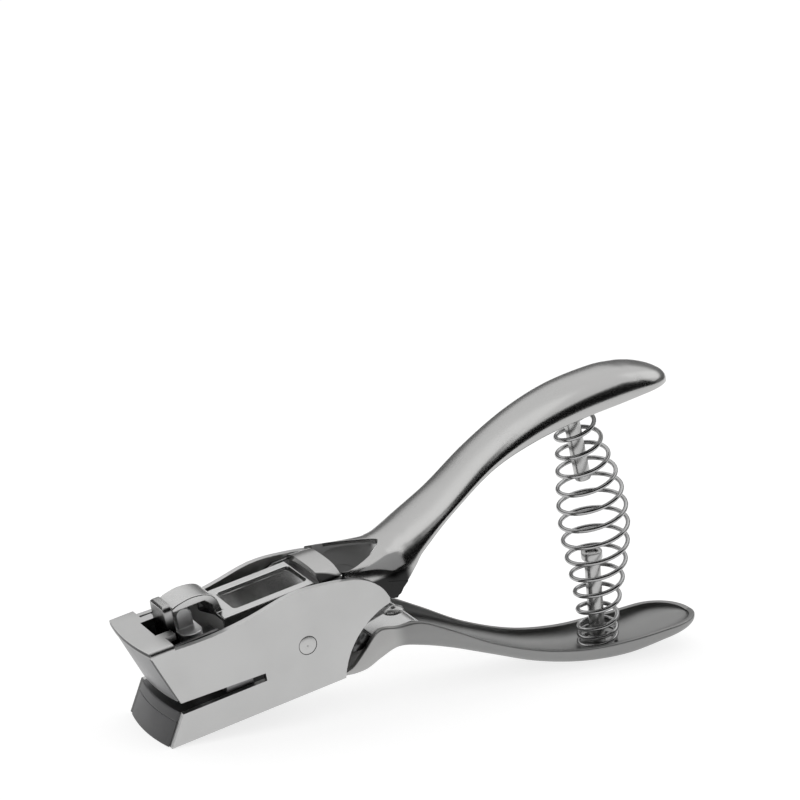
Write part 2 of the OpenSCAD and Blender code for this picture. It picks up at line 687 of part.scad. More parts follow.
// The plate that hangs from the tongue in front of the punch and lifts it by its head
module lift_hook() {
    corner = 1.5;
    half = tongue_w / 2;
    rear = hook_t - hook_front;
    color(nickel) standing() union() {
        intersection() {
            translate([-hook_front, 0, 0]) rotate([90, 0, 90]) linear_extrude(hook_t) polygon(concat(
                arc([half - corner, hook_top - corner], corner, 0, 90, 8),
                arc([corner - half, hook_top - corner], corner, 90, 180, 8),
                [[-half, hook_foot], [half, hook_foot]]));
            across(-half, half) polygon([[-hook_front, hook_foot], [rear, hook_foot], [rear, hook_top],
                [hook_chamfer - hook_front, hook_top], [-hook_front, hook_top - hook_chamfer]]);
        }
        translate([rear, 0.5 - half, hook_foot])
            cube([hook_reach, tongue_w - 1, punch_head_z - seat_gap - hook_foot]);
    }
}

// The moving handle: a channel that opens upwards, riveted to the lever's tail
module lower_handle() {
    color(nickel) standing() difference() {
        mirror([0, 0, 1]) channel(lower_rows, lower_tip, handle_t);
        translate([rivet_x, 0, -big]) cylinder(d = rivet_d, h = big);
    }
}

// The rivet that joins the lever's tail to the web of the lower handle, with a dimpled head
module tail_rivet() {
    foot = -crest_at(lower_rows, rivet_x) + 0.3;
    color(nickel) standing() translate([rivet_x, 0, 0]) difference() {
        union() {
            translate([0, 0, foot]) cylinder(d = rivet_d, h = -tail_drop - foot);
            translate([0, 0, -tail_drop]) cylinder(d = rivet_head_d, h = rivet_head_t / 2);
            translate([0, 0, -tail_drop + rivet_head_t / 2])
                cylinder(d1 = rivet_head_d, d2 = rivet_head_d - 1, h = rivet_head_t / 2);
        }
        translate([0, 0, -tail_drop + rivet_head_t / 2])
            cylinder(d1 = 0.4, d2 = 2, h = rivet_head_t / 2 + eps);
    }
}

// The slot punch: shank, head and the rounded boss that the tongue presses on
module slot_punch() {
    tip_z = throat_top_mouth - 0.1;
    head_z1 = punch_head_z + punch_head_t;
    hollow_r = (pow(slot_len / 2, 2) + pow(shear_depth, 2)) / (2 * shear_depth);
    color(tool_steel) standing() difference() {
        union() {
            slot_bar(slot_len, slot_w, tip_z, punch_head_z + eps);
            slot_bar(punch_head_len, punch_head_w, punch_head_z, head_z1);
            translate([-punch_x - boss_r, -boss_w / 2, head_z1 - eps])
                cube([2 * boss_r, boss_w, tongue_z - seat_gap - boss_r - head_z1 + eps]);
            translate([-punch_x, 0, tongue_z - seat_gap - boss_r]) rod(boss_r, -boss_w / 2, boss_w / 2);
        }
        translate([-punch_x - slot_w, 0, tip_z + shear_depth - hollow_r]) rotate([0, 90, 0])
            cylinder(r = hollow_r, h = 2 * slot_w, $fn = 180);
    }
}

housing_shell();
guide_block();
card_stop();
die_plate();
die_block();
pivot_pin();
washer_near();
washer_far();
upper_handle();
upper_stud();
handle_spring();
punch_lever();
lift_hook();
lower_handle();
tail_rivet();
lower_stud();
slot_punch();
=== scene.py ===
"""A hand-held slot punch for id cards, dressed for its portrait in a plain studio.

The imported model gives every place. Shapes are worked out in the frame of the punch's head, in
millimetres: the origin is the pivot axis, +X runs back to the handle ends, +Y across the head
and +Z up. Tool.place() then stands them on the tool's feet, in metres.
"""

import json
import logging
import math
from dataclasses import dataclass, field
from enum import Enum
from typing import Any, Sequence

import bmesh
import bpy
import numpy as np
from mathutils import Matrix, Vector

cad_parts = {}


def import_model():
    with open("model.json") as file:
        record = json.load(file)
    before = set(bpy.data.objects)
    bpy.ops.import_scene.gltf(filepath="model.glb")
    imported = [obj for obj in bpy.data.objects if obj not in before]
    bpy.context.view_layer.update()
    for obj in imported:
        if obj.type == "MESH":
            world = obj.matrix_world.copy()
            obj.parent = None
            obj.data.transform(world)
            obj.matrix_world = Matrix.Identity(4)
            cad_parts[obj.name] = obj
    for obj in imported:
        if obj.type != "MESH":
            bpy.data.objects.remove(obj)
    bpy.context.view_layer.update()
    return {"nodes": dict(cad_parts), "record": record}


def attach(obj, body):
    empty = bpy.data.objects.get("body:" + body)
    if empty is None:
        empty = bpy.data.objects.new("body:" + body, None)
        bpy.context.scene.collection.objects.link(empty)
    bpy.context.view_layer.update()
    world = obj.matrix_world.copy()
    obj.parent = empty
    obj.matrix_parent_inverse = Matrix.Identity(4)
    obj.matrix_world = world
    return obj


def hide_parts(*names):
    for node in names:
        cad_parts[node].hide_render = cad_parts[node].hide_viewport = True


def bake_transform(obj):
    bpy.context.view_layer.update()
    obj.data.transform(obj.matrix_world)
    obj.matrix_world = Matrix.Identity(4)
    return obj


LOG = logging.getLogger("slot_punch")
Array = np.ndarray
Colour = tuple[float, float, float]
Outline = Sequence[tuple[float, float]]
Material = bpy.types.Material
Object = bpy.types.Object
MM_PER_M = 1000.0


class Body(Enum):
    """The three bodies that move against each other."""

    HEAD = "head"
    LEVER = "lever"
    PUNCH = "punch"


class Slot(Enum):
    """The record's material slots."""

    NICKEL = "nickel_plate"
    STEEL = "tool_steel"
    WIRE = "spring_wire"


class Grain(Enum):
    """How far a surface's fine lines are stretched along X, Y and Z, in lines per millimetre."""

    ALONG = (0.05, 3.2, 3.2)
    ACROSS = (3.2, 0.05, 3.2)
    UPRIGHT = (3.2, 3.2, 0.05)
    EVEN = (1.8, 1.8, 1.8)


# ---- shader maths


class Signal:
    """A shader socket that takes part in Python expressions.

    Every operator adds one Math node, or one Vector Math node where the socket is a vector.
    """

    def __init__(self, nodes: "Nodes", socket: bpy.types.NodeSocket) -> None:
        """Keep the socket with the tree that it belongs to."""
        self.nodes = nodes
        self.socket = socket

    def _joined(self, operation: str, other: "Signal | float | Sequence[float]",
                swapped: bool = False) -> "Signal":
        """Add the node for one operator.

        Args:
            operation: The operation's name in Blender.
            other: The second value.
            swapped: True where the other value stands on the left.

        Returns:
            The new node's result.
        """
        pair = (other, self) if swapped else (self, other)
        kind = "ShaderNodeVectorMath" if self.socket.type == "VECTOR" else "ShaderNodeMath"
        return self.nodes.node(kind, {"operation": operation}, dict(enumerate(pair)))

    def __add__(self, other: Any) -> "Signal":
        """Sum."""
        return self._joined("ADD", other)

    __radd__ = __add__

    def __mul__(self, other: Any) -> "Signal":
        """Product."""
        return self._joined("MULTIPLY", other)

    __rmul__ = __mul__

    def __sub__(self, other: Any) -> "Signal":
        """Difference."""
        return self._joined("SUBTRACT", other)

    def __rsub__(self, other: Any) -> "Signal":
        """Difference with this value on the right, so that 1 - mask works."""
        return self._joined("SUBTRACT", other, swapped=True)

    def size(self) -> "Signal":
        """The value without its sign."""
        return self.nodes.node("ShaderNodeMath", {"operation": "ABSOLUTE"}, {0: self})

    def parts(self) -> tuple["Signal", "Signal", "Signal"]:
        """A vector's X, Y and Z."""
        return tuple(self.nodes.node("ShaderNodeSeparateXYZ", None, {0: self}, output=k)
                     for k in range(3))

    def ramp(self, low: float, high: float, start: float = 0.0, end: float = 1.0) -> "Signal":
        """Rise smoothly from start to end while the value goes from low to high.

        Args:
            low: The value at which the rise starts.
            high: The value at which it ends.
            start: What comes out below low.
            end: What comes out above high.

        Returns:
            The mapped value.
        """
        return self.nodes.node("ShaderNodeMapRange", {"interpolation_type": "SMOOTHSTEP"},
                               {0: self, 1: low, 2: high, 3: start, 4: end})

    def fall(self, low: float, high: float) -> "Signal":
        """Fall smoothly from 1 to 0 while the value goes from low to high."""
        return self.ramp(low, high, 1.0, 0.0)


class Nodes:
    """A node tree, with one way to add any node to it."""

    def __init__(self, tree: bpy.types.NodeTree) -> None:
        """Work on a tree."""
        self.tree = tree

    def node(self, kind: str, settings: dict[str, Any] | None = None,
             inputs: dict[int | str, Any] | None = None, output: int | str = 0) -> Signal:
        """Add any node.

        Args:
            kind: The node's type name.
            settings: Values of the node's own settings, set before its sockets.
            inputs: A value, a colour or a Signal for each socket, by place or name.
            output: Which result to hand back.

        Returns:
            That result.
        """
        made = self.tree.nodes.new(kind)
        for name, value in (settings or {}).items():
            setattr(made, name, value)
        for key, value in (inputs or {}).items():
            self.feed(made.inputs[key], value)
        return Signal(self, made.outputs[output])

    def feed(self, socket: bpy.types.NodeSocket, value: Any) -> None:
        """Link a Signal to a socket, or set the socket's own value.

        Args:
            socket: The socket.
            value: A Signal, a number, a colour or a vector.
        """
        if isinstance(value, Signal):
            self.tree.links.new(value.socket, socket)
        elif socket.type == "VECTOR" and isinstance(value, (int, float)):
            socket.default_value = (value,) * 3
        elif socket.type == "RGBA":
            socket.default_value = (*value, 1.0)
        else:
            socket.default_value = value

    def seen_directly(self) -> Signal:
        """1 or more for a ray of the camera, of a reflection or of a see-through surface, and 0
        for the diffuse rays that light the object.

        Returns:
            The sum of the three kinds.
        """
        camera, glossy, glass = (self.node("ShaderNodeLightPath", output=f"Is {kind} Ray")
                                 for kind in ("Camera", "Glossy", "Transmission"))
        return camera + glossy + glass


class Shader(Nodes):
    """One material: its principled shader, and short ways to add the nodes that feed it."""

    def __init__(self, name: str) -> None:
        """Start a material that holds only a principled shader and its output.

        Args:
            name: The material's name.
        """
        self.material = bpy.data.materials.new(name)
        self.material.use_nodes = True
        super().__init__(self.material.node_tree)
        self.principled = self.tree.nodes["Principled BSDF"]

    def mix(self, share: Signal, first: Colour | Signal, second: Colour | Signal) -> Signal:
        """Blend two colours: the first where the share is 0 and the second where it is 1."""
        return self.node("ShaderNodeMix", {"data_type": "RGBA"}, {0: share, 6: first, 7: second},
                         output=2)

    def noise(self, at: Signal, scale: float, detail: float = 3.0, rough: float = 0.5) -> Signal:
        """Soft noise between 0 and 1, with about `scale` blotches a millimetre."""
        return self.node("ShaderNodeTexNoise", None,
                         {"Vector": at, "Scale": scale, "Detail": detail, "Roughness": rough})

    def surface(self, **inputs: Any) -> None:
        """Set the principled shader's sockets, with _ for a space in each name."""
        for name, value in inputs.items():
            self.feed(self.principled.inputs[name.replace("_", " ")], value)


def grey(level: float) -> Colour:
    """The neutral colour of a level."""
    return (level, level, level)


# ---- the tool's frame


def turn_y(angle: float) -> Array:
    """The matrix of a turn about Y, by an angle in radians."""
    c, s = math.cos(angle), math.sin(angle)
    return np.array([[c, 0.0, s], [0.0, 1.0, 0.0], [-s, 0.0, c]])


@dataclass(frozen=True)
class Tool:
    """Where the head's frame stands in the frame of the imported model."""

    tilt: float
    pivot: tuple[float, float, float]

    @classmethod
    def from_record(cls, record: dict[str, Any]) -> "Tool":
        """Read the pivot and the tilt from the two joints of the record.

        Args:
            record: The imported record.

        Returns:
            The tool's place.
        """
        joints = {j["name"]: j for j in record["behaviour"]["joints"]}
        down = joints["punch_stroke"]["axis"]
        return cls(math.atan2(down[0], -down[2]), tuple(joints["handle_squeeze"]["pos_m"]))

    def place(self, points: Array) -> Array:
        """Turn points of the head's frame about Y by the tilt, in metres, and add the pivot."""
        return np.asarray(points, float) @ turn_y(self.tilt) / MM_PER_M + np.array(self.pivot)

    def coordinates(self, shader: Shader) -> Signal:
        """Object coordinates turned back into the head's frame, in millimetres.

        Args:
            shader: The material that its nodes join.

        Returns:
            The place in the head's frame, in millimetres.
        """
        at = shader.node("ShaderNodeTexCoord", output="Object")
        return shader.node("ShaderNodeMapping", {"vector_type": "TEXTURE"},
                           {"Vector": at, "Location": self.pivot, "Scale": 1.0 / MM_PER_M,
                            "Rotation": (0.0, -self.tilt, 0.0)})


# ---- finishes

HAIRLINE = 0.00004
HAIRLINE_DEPTH_MM = 0.006
HAIRLINE_ROUGHNESS = 0.12
DULL_SHADE_ROUGHNESS = 0.4
TARNISH = 0.7
TARNISH_DEPTH = 2.2


@dataclass(frozen=True)
class Fade:
    """Painted shade: a change of tone along one axis, 0 for X to 2 for Z, in millimetres."""

    axis: int
    start: float
    end: float
    tone: Colour


@dataclass(frozen=True)
class Finish:
    """A metal surface: its tone, its gloss and the fine marks that catch the light."""

    name: str
    tone: Colour
    roughness: float
    grain: Grain = Grain.EVEN
    grain_depth: float = 0.004
    cloud: float = 0.05
    smudge: float = 0.06
    scratch: float = 0.5
    fade: Fade | None = None

    def grain_height(self, shader: Shader, at: Signal) -> Signal:
        """Height of the fine lines: noise drawn out along the grain."""
        return shader.noise(at * self.grain.value, scale=1.0, detail=4.0, rough=0.6)

    def shaded(self, shader: Shader, at: Signal, tone: Signal) -> Signal:
        """The tone at each place, with the fade's painted shade beyond it, where there is one.

        Args:
            shader: The material that its nodes join.
            at: The place in the head's frame, in millimetres.
            tone: The tone before it.

        Returns:
            The tone at each place.
        """
        if self.fade is None:
            return tone
        along = at.parts()[self.fade.axis]
        return shader.mix(along.ramp(self.fade.start, self.fade.end), tone, self.fade.tone)

    def dull_shade(self, at: Signal) -> Signal | float:
        """Where a dull grey, not metal, stands in for shade, 0 to 1."""
        return 0.0

    def scratches(self, shader: Shader, at: Signal) -> Signal:
        """Sparse hairlines in two directions, 1 on each thin crest of drawn-out noise.

        Args:
            shader: The material that its nodes join.
            at: The place in the head's frame, in millimetres.

        Returns:
            1 on a hairline, falling to 0 beside it.
        """
        lines = []
        for turn, stretch in ((0.5, (0.05, 0.8, 0.8)), (-0.9, (0.6, 0.9, 0.04))):
            turned = shader.node("ShaderNodeMapping", None,
                                 {"Vector": at, "Rotation": (turn, 0.3 * turn, turn)})
            drawn = shader.noise(turned * stretch, scale=1.0, detail=1.0)
            thin = (drawn - 0.5) * (drawn - 0.5)
            lines.append(thin.fall(0.0, HAIRLINE))
        patches = shader.noise(at, scale=0.13, detail=2.0).ramp(0.52, 0.66)
        return (lines[0] + lines[1]) * patches

    def make(self, tool: Tool) -> Material:
        """Build the material, its patterns read in the head's frame.

        Args:
            tool: Where the head's frame stands.

        Returns:
            The material.
        """
        shader = Shader(self.name)
        at = tool.coordinates(shader)
        drift = shader.noise(at, scale=0.06, detail=4.0)
        speckle = shader.noise(at, scale=2.5, detail=2.0)
        lines = self.grain_height(shader, at)
        marks = self.scratches(shader, at) * self.scratch
        dull = tuple(c * (1.0 - self.cloud * TARNISH_DEPTH) for c in self.tone)
        tarnish = (drift.ramp(0.35, 0.75) + speckle.ramp(0.6, 0.8) * 0.25) * TARNISH
        # painted shade: where the mask is 1, a dull grey that is not metal stands in for shade
        dull_shade_share = self.dull_shade(at)
        shader.surface(
            Metallic=1.0 - dull_shade_share,
            Base_Color=self.shaded(shader, at, shader.mix(tarnish, self.tone, dull)),
            Roughness=(self.roughness - 0.5 * self.smudge + drift * self.smudge
                       + lines * (0.4 * self.smudge) + marks * HAIRLINE_ROUGHNESS
                       + dull_shade_share * DULL_SHADE_ROUGHNESS),
            Normal=shader.node("ShaderNodeBump", None,
                               {"Strength": 1.0, "Distance": 1.0 / MM_PER_M,
                                "Height": lines * self.grain_depth - marks * HAIRLINE_DEPTH_MM}))
        return shader.material


@dataclass(frozen=True)
class PolishedNickel(Finish):
    """Buffed plating: a long shallow waviness shows in it in place of grain."""

    def grain_height(self, shader: Shader, at: Signal) -> Signal:
        """Waves some 4 mm long with faint buffing lines along the handle.

        Args:
            shader: The material that its nodes join.
            at: The place in the head's frame, in millimetres.

        Returns:
            The height, in shares of the grain's depth.
        """
        waves = shader.noise(at, scale=0.22, detail=1.0)
        buffing = shader.noise(at * self.grain.value, scale=1.0, detail=3.0)
        return waves * 3.0 + buffing * 0.25


@dataclass(frozen=True)
class UpperNickel(PolishedNickel):
    """The fixed handle's plating: painted shade inside, painted dark reflections at its root."""

    def dull_shade(self, at: Signal) -> Signal:
        """Painted shade: 1 between the cheeks ahead of x = 29 mm and on the far rail, 0 elsewhere.

        Args:
            at: The place in the head's frame, in millimetres.

        Returns:
            The share of the dull grey that stands in for shade.
        """
        x, y, z = at.parts()
        cheeks = y.size().fall(9.55, 9.75) * z.fall(11.4, 11.7) * x.fall(27.5, 29.0)
        far_rail = x.ramp(14.2, 14.5) * x.fall(26.4, 27.2) * y.ramp(8.6, 8.8)
        return cheeks + far_rail

    def shaded(self, shader: Shader, at: Signal, tone: Signal) -> Signal:
        """Painted shade inside; painted dark reflections at the root and the bridge's near end.

        Args:
            shader: The material that its nodes join.
            at: The place in the head's frame, in millimetres.
            tone: The tone before it.

        Returns:
            The tone at each place.
        """
        x, y, z = at.parts()
        # painted dark reflections: near black at the handle's root and on the bridge's near end
        root_reflection = x.ramp(16.0, 18.5) * z.fall(7.8, 8.7) * x.fall(28.0, 30.5)
        bridge_end_reflection = ((x * 0.54 + y).fall(-2.95, -2.15) * x.fall(12.7, 13.0)
                      * z.ramp(9.0, 10.0))
        dull_shade_share = self.dull_shade(at)
        # painted shade: a dull grey inside the cheeks and on the far rail
        dull = shader.mix(dull_shade_share, tone, grey(0.30))
        return shader.mix((root_reflection + bridge_end_reflection) * (1.0 - dull_shade_share), dull, grey(0.03))


@dataclass(frozen=True)
class FoldedPlate(Finish):
    """The housing's plating: painted shade on its raked front and in the seam under the strip."""

    def shaded(self, shader: Shader, at: Signal, tone: Signal) -> Signal:
        """Painted shade: darker on the front x = -38.2 + y^2 / 121 + 0.33 (11.6 - z), on the two
        top bends, and darkest in the seam near its top; dark on the front end of the far lower
        jaw.

        Args:
            shader: The material that its nodes join.
            at: The place in the head's frame, in millimetres.
            tone: The tone before it.

        Returns:
            The tone at each place.
        """
        x, y, z = at.parts()
        aside = y.size()
        bow = x + 38.2 - y * y * 0.00825
        # painted shade: darker on the raked front and the top bends, near black in the seam
        front = ((bow - (11.6 - z) * 0.33).size().fall(0.2, 0.35) * z.ramp(-2.5, -2.2)
                 * aside.fall(11.75, 11.85))
        seam = front * z.ramp(11.5, 11.7) * z.fall(12.35, 12.45)
        jaw = ((bow - (z + 11.6) * 0.62).size().fall(0.25, 0.4) * y.ramp(10.2, 10.3)
               * z.fall(-4.5, -4.3))
        bends = aside.ramp(11.0, 11.4) * z.ramp(11.5, 11.8) * x.fall(-28.0, -27.0)
        wall = shader.mix(front + bends * 0.7, tone, (0.33, 0.33, 0.328))
        return shader.mix(seam + jaw * 0.75, wall, grey(0.04))


@dataclass(frozen=True)
class LeverNickel(Finish):
    """The lever's plating, with painted shade where its rails run down behind the housing."""

    def shaded(self, shader: Shader, at: Signal, tone: Signal) -> Signal:
        """Painted shade, a noisy near black: on the rails under the tail, as a painted shadow on
        the tail's far half beside the housing, and low on the cheeks beside the punch.

        Args:
            shader: The material that its nodes join.
            at: The place in the head's frame, in millimetres.
            tone: The tone before it.

        Returns:
            The tone at each place.
        """
        x, y, z = at.parts()
        # painted shade: the rails, the tail beside the housing and the cheeks by the punch turn a
        # noisy near black
        rails = x.ramp(9.0, 11.0) * x.fall(17.5, 18.5) * z.fall(-3.0, -1.5)
        beside = ((y - x * 0.28).ramp(-7.1, -6.4) * z.ramp(-6.7, -6.5) * x.ramp(16.0, 17.0)
                  * z.fall(-4.5, -4.0))
        under = z.fall(9.3, 9.8) * x.fall(-15.0, -13.0)
        painted_shade_tone = shader.noise(at, scale=0.9, detail=3.0).ramp(0.35, 0.7, 0.02, 0.12)
        return shader.mix(rails + beside + under, tone, painted_shade_tone)


@dataclass(frozen=True)
class FacedPin(Finish):
    """The pin's faced ends, with a ring of painted shade where they meet the plates."""

    def shaded(self, shader: Shader, at: Signal, tone: Signal) -> Signal:
        """Painted shade beyond 2.1 mm from the pin's axis, in squares of the distance."""
        x, _, z = at.parts()
        # painted shade: a dark ring in the gap round the pin's end
        return shader.mix((x * x + z * z).ramp(4.2, 4.9), tone, grey(0.05))


@dataclass(frozen=True)
class DrawnWire(Finish):
    """Drawn spring wire: fine die lines run along it, read from the wire's own map."""

    def grain_height(self, shader: Shader, at: Signal) -> Signal:
        """Lines along the wire, from its map of length and girth."""
        along = shader.node("ShaderNodeUVMap", {"uv_map": "wire"})
        return shader.noise(along * (2.0, 14.0, 1.0), scale=1.0, detail=3.0)


# Name, tone, roughness, grain, depth of the grain in millimetres, clouding, smudging, scratches.
PLATE = FoldedPlate("plate_nickel", (0.57, 0.57, 0.566), 0.34, Grain.EVEN, 0.003, 0.03)
LEVER = LeverNickel("lever_nickel", (0.60, 0.60, 0.596), 0.24, Grain.ALONG, 0.003, 0.04)
UPPER = UpperNickel("upper_nickel", (0.47, 0.468, 0.463), 0.22, Grain.ALONG, 0.002, 0.02, 0.04,
                    0.6)
# painted dark reflection: the lower handle's tone darkens beyond x = 22 to 26 mm
LOWER = PolishedNickel("lower_nickel", (0.48, 0.478, 0.472), 0.42, Grain.ALONG, 0.002, 0.02, 0.04,
                       0.6, Fade(0, 22.0, 26.0, (0.30, 0.30, 0.298)))
# painted shade: the hook darkens to near black from z = 16.2 mm down to 13.4 mm
HOOK = Finish("hook_nickel", (0.42, 0.42, 0.417), 0.26, Grain.UPRIGHT, 0.010, 0.06,
              fade=Fade(2, 16.2, 13.4, grey(0.04)))
GROUND = Finish("ground_steel", (0.24, 0.24, 0.243), 0.34, Grain.ACROSS, 0.008, 0.08)
SHEARED = Finish("sheared_steel", (0.16, 0.16, 0.162), 0.40, Grain.UPRIGHT, 0.010, 0.10)
# painted light: the punch's tone is raised far above the other ground steel's, brightening it in
# the shade under the lever
PUNCH = Finish("punch_steel", (0.92, 0.92, 0.92), 0.42, Grain.ACROSS, 0.008, 0.08)
PIN = FacedPin("pin_nickel", (0.57, 0.57, 0.565), 0.30, Grain.EVEN, 0.003, 0.04)
TURNED = Finish("turned_nickel", (0.50, 0.50, 0.495), 0.26, Grain.EVEN, 0.003, 0.04)
WIRE = DrawnWire("bright_wire", (0.42, 0.42, 0.42), 0.20, Grain.EVEN, 0.004, 0.05)


# ---- surfaces

CORNER_STEPS = 4
SPLINE_STEPS = 96
TURNED_SIDES = 72
MERGE_DISTANCE = 2e-6
FLAT_ANGLE = math.radians(0.4)
SHARP_ANGLE = math.radians(38)


def grid_faces(rows: int, columns: int) -> Array:
    """Corner numbers of the quads of a grid whose points are numbered row by row.

    Args:
        rows: Number of rows of points.
        columns: Number of points in a row.

    Returns:
        An array of four corners a quad.
    """
    i, j = np.meshgrid(np.arange(rows - 1), np.arange(columns - 1), indexing="ij")
    a = (i * columns + j).ravel()
    return np.column_stack([a, a + 1, a + columns + 1, a + columns])


def spline(stations: Array, steps: int) -> Array:
    """Smooth curve through rows of numbers: each span is the cubic that joins its two ends, with
    slopes of half the step between an end's neighbours. The first and the last row stand in for
    the neighbours that are missing.

    Args:
        stations: The rows, one station each.
        steps: Number of points a span.

    Returns:
        The rows of the curve.
    """
    s = np.vstack([stations[:1], stations, stations[-1:]])
    u = np.linspace(0.0, 1.0, steps, endpoint=False)[None, :, None]
    a, b, c, d = (s[k:len(s) - 3 + k, None, :] for k in range(4))
    curve = (2 * b + (c - a) * u + (2 * a - 5 * b + 4 * c - d) * u ** 2
             + (3 * b - a - 3 * c + d) * u ** 3) / 2
    return np.vstack([curve.reshape(-1, s.shape[1]), stations[-1:]])


def eased_corner(before: Array, corner: Array, after: Array, radius: Array) -> Array:
    """Round a corner: a quadratic curve that leaves one leg and lands on the other.

    Args:
        before: Points on the leg that comes in, one a row.
        corner: The corner points.
        after: Points on the leg that goes out.
        radius: How far from the corner the rounding starts, one a row.

    Returns:
        Points of shape rows x (CORNER_STEPS + 1) x 3.
    """
    def leg(towards: Array) -> Array:
        """The point on a leg at the radius from the corner.

        Args:
            towards: Points further along the leg, one a row.

        Returns:
            One point a row.
        """
        way = towards - corner
        size = np.maximum(np.linalg.norm(way, axis=-1, keepdims=True), 1e-9)
        return corner + way / size * radius[:, None]

    start, end = leg(before), leg(after)
    t = np.linspace(0.0, 1.0, CORNER_STEPS + 1)[None, :, None]
    return (start[:, None] * (1 - t) ** 2 + 2 * t * (1 - t) * corner[:, None]
            + end[:, None] * t ** 2)


@dataclass(frozen=True)
class Outfit:
    """What a piece wears, and the body that carries it, None where it rides on no body.

    `replaces` names the CAD nodes that it stands for, `edge` is the width of its eased edges in
    millimetres, and `clamp` holds each within the shortest edge beside it.
    """

    finish: Material
    slot: Slot
    body: Body | None
    replaces: Sequence[str] = ()
    edge: float = 0.0
    clamp: bool = False


@dataclass
class Piece:
    """A piece in the making: points in the head's frame and the faces between them."""

    name: str
    tool: Tool
    points: list[Array] = field(default_factory=list)
    faces: list[list[int]] = field(default_factory=list)
    maps: list[Array] = field(default_factory=list)
    count: int = 0

    def add(self, points: Array, faces: Array | list[list[int]], uv: Array | None = None) -> None:
        """Add points with the faces between them.

        Args:
            points: Rows of X, Y and Z in millimetres.
            faces: Corner numbers, counted from 0 within these points.
            uv: The map's place of every face corner, where the piece has a map.
        """
        self.points.append(np.asarray(points, float).reshape(-1, 3))
        self.faces.extend((np.asarray(f) + self.count).tolist() for f in faces)
        self.count += len(self.points[-1])
        if uv is not None:
            self.maps.append(uv)

    def add_grid(self, points: Array) -> None:
        """Add a grid of points of shape rows x columns x 3."""
        self.add(points, grid_faces(*points.shape[:2]))

    def mirrored(self) -> "Piece":
        """Add the mirror image of all that is there, across the tool's middle plane.

        Returns:
            The piece itself.
        """
        points = np.vstack(self.points) * (1.0, -1.0, 1.0)
        self.add(points, [f[::-1] for f in self.faces])
        return self

    def finish(self, outfit: Outfit) -> Object:
        """Turn the piece into an object that rides on its body.

        Args:
            outfit: What the piece wears.

        Returns:
            The object.
        """
        mesh = bpy.data.meshes.new(self.name)
        mesh.from_pydata(self.tool.place(np.vstack(self.points)).tolist(), [], self.faces)
        if self.maps:
            mesh.uv_layers.new(name="wire").data.foreach_set("uv", np.vstack(self.maps).ravel())
        return dress(self.name, mesh, outfit, turn_out=True)


def put(name: str, data: bpy.types.ID) -> Object:
    """Make an object of its data and put it into the scene.

    Args:
        name: The object's name.
        data: Its mesh, lamp or camera.

    Returns:
        The object.
    """
    made = bpy.data.objects.new(name, data)
    bpy.context.scene.collection.objects.link(made)
    return made


def dress(name: str, mesh: bpy.types.Mesh, outfit: Outfit, turn_out: bool) -> Object:
    """Merge a mesh, ease its edges and put it into the scene.

    Args:
        name: The object's name.
        mesh: The mesh, in place in the frame.
        outfit: What the piece wears.
        turn_out: True to work out the faces' directions, False to keep them and merge flat ones.

    Returns:
        The object.
    """
    work = bmesh.new()
    work.from_mesh(mesh)
    bmesh.ops.remove_doubles(work, verts=work.verts, dist=MERGE_DISTANCE)
    if turn_out:
        bmesh.ops.recalc_face_normals(work, faces=work.faces)
    else:
        bmesh.ops.dissolve_limit(work, angle_limit=FLAT_ANGLE, verts=work.verts, edges=work.edges)
    work.to_mesh(mesh)
    work.free()
    mesh.polygons.foreach_set("use_smooth", np.ones(len(mesh.polygons), bool))
    mesh.set_sharp_from_angle(angle=SHARP_ANGLE)
    mesh.materials.clear()
    mesh.materials.append(outfit.finish)
    piece = put(name, mesh)
    if outfit.edge:
        ease = piece.modifiers.new("eased_edges", "BEVEL")
        ease.width = outfit.edge / MM_PER_M
        ease.segments = 3
        ease.limit_method = "ANGLE"
        ease.angle_limit = SHARP_ANGLE
        ease.use_clamp_overlap = outfit.clamp
        ease.harden_normals = True
    if outfit.replaces:
        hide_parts(*outfit.replaces)
    if outfit.body is not None:
        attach(piece, outfit.body.value)
    LOG.info("%s: %d faces", name, len(mesh.polygons))
    return piece


@dataclass(frozen=True)
class EasedPart:
    """A piece that keeps the CAD outline: its edges are eased and its bends rounded."""

    node: str
    name: str
    body: Body
    finish: Finish
    slot: Slot
    edge: float
    clamp: bool = False

    def build(self, nodes: dict[str, Object], skins: dict[str, Material]) -> Object:
        """Stand a copy with eased edges in for the CAD node.

        Args:
            nodes: The CAD nodes by name.
            skins: The materials by the names of their finishes.

        Returns:
            The object.
        """
        mesh = nodes[self.node].data.copy()
        mesh.name = self.name
        return dress(self.name, mesh, Outfit(skins[self.finish.name], self.slot, self.body,
                                             [self.node], self.edge, self.clamp), turn_out=False)


EASED_PARTS = (
    EasedPart("housing_shell", "housing_folded", Body.HEAD, PLATE, Slot.NICKEL, 0.18, clamp=True),
    EasedPart("guide_block", "guide_ground", Body.HEAD, GROUND, Slot.STEEL, 0.12),
    EasedPart("card_stop", "card_stop_ground", Body.HEAD, GROUND, Slot.STEEL, 0.1),
    EasedPart("die_plate", "die_plate_ground", Body.HEAD, SHEARED, Slot.NICKEL, 0.25),
    EasedPart("die_block", "die_block_ground", Body.HEAD, SHEARED, Slot.STEEL, 0.12),
    EasedPart("punch_lever", "lever_folded", Body.LEVER, LEVER, Slot.NICKEL, 0.3),
    EasedPart("lift_hook", "hook_plate", Body.LEVER, HOOK, Slot.NICKEL, 0.25),
    EasedPart("slot_punch", "punch_ground", Body.PUNCH, PUNCH, Slot.STEEL, 0.25),
)


# ---- stamped handles


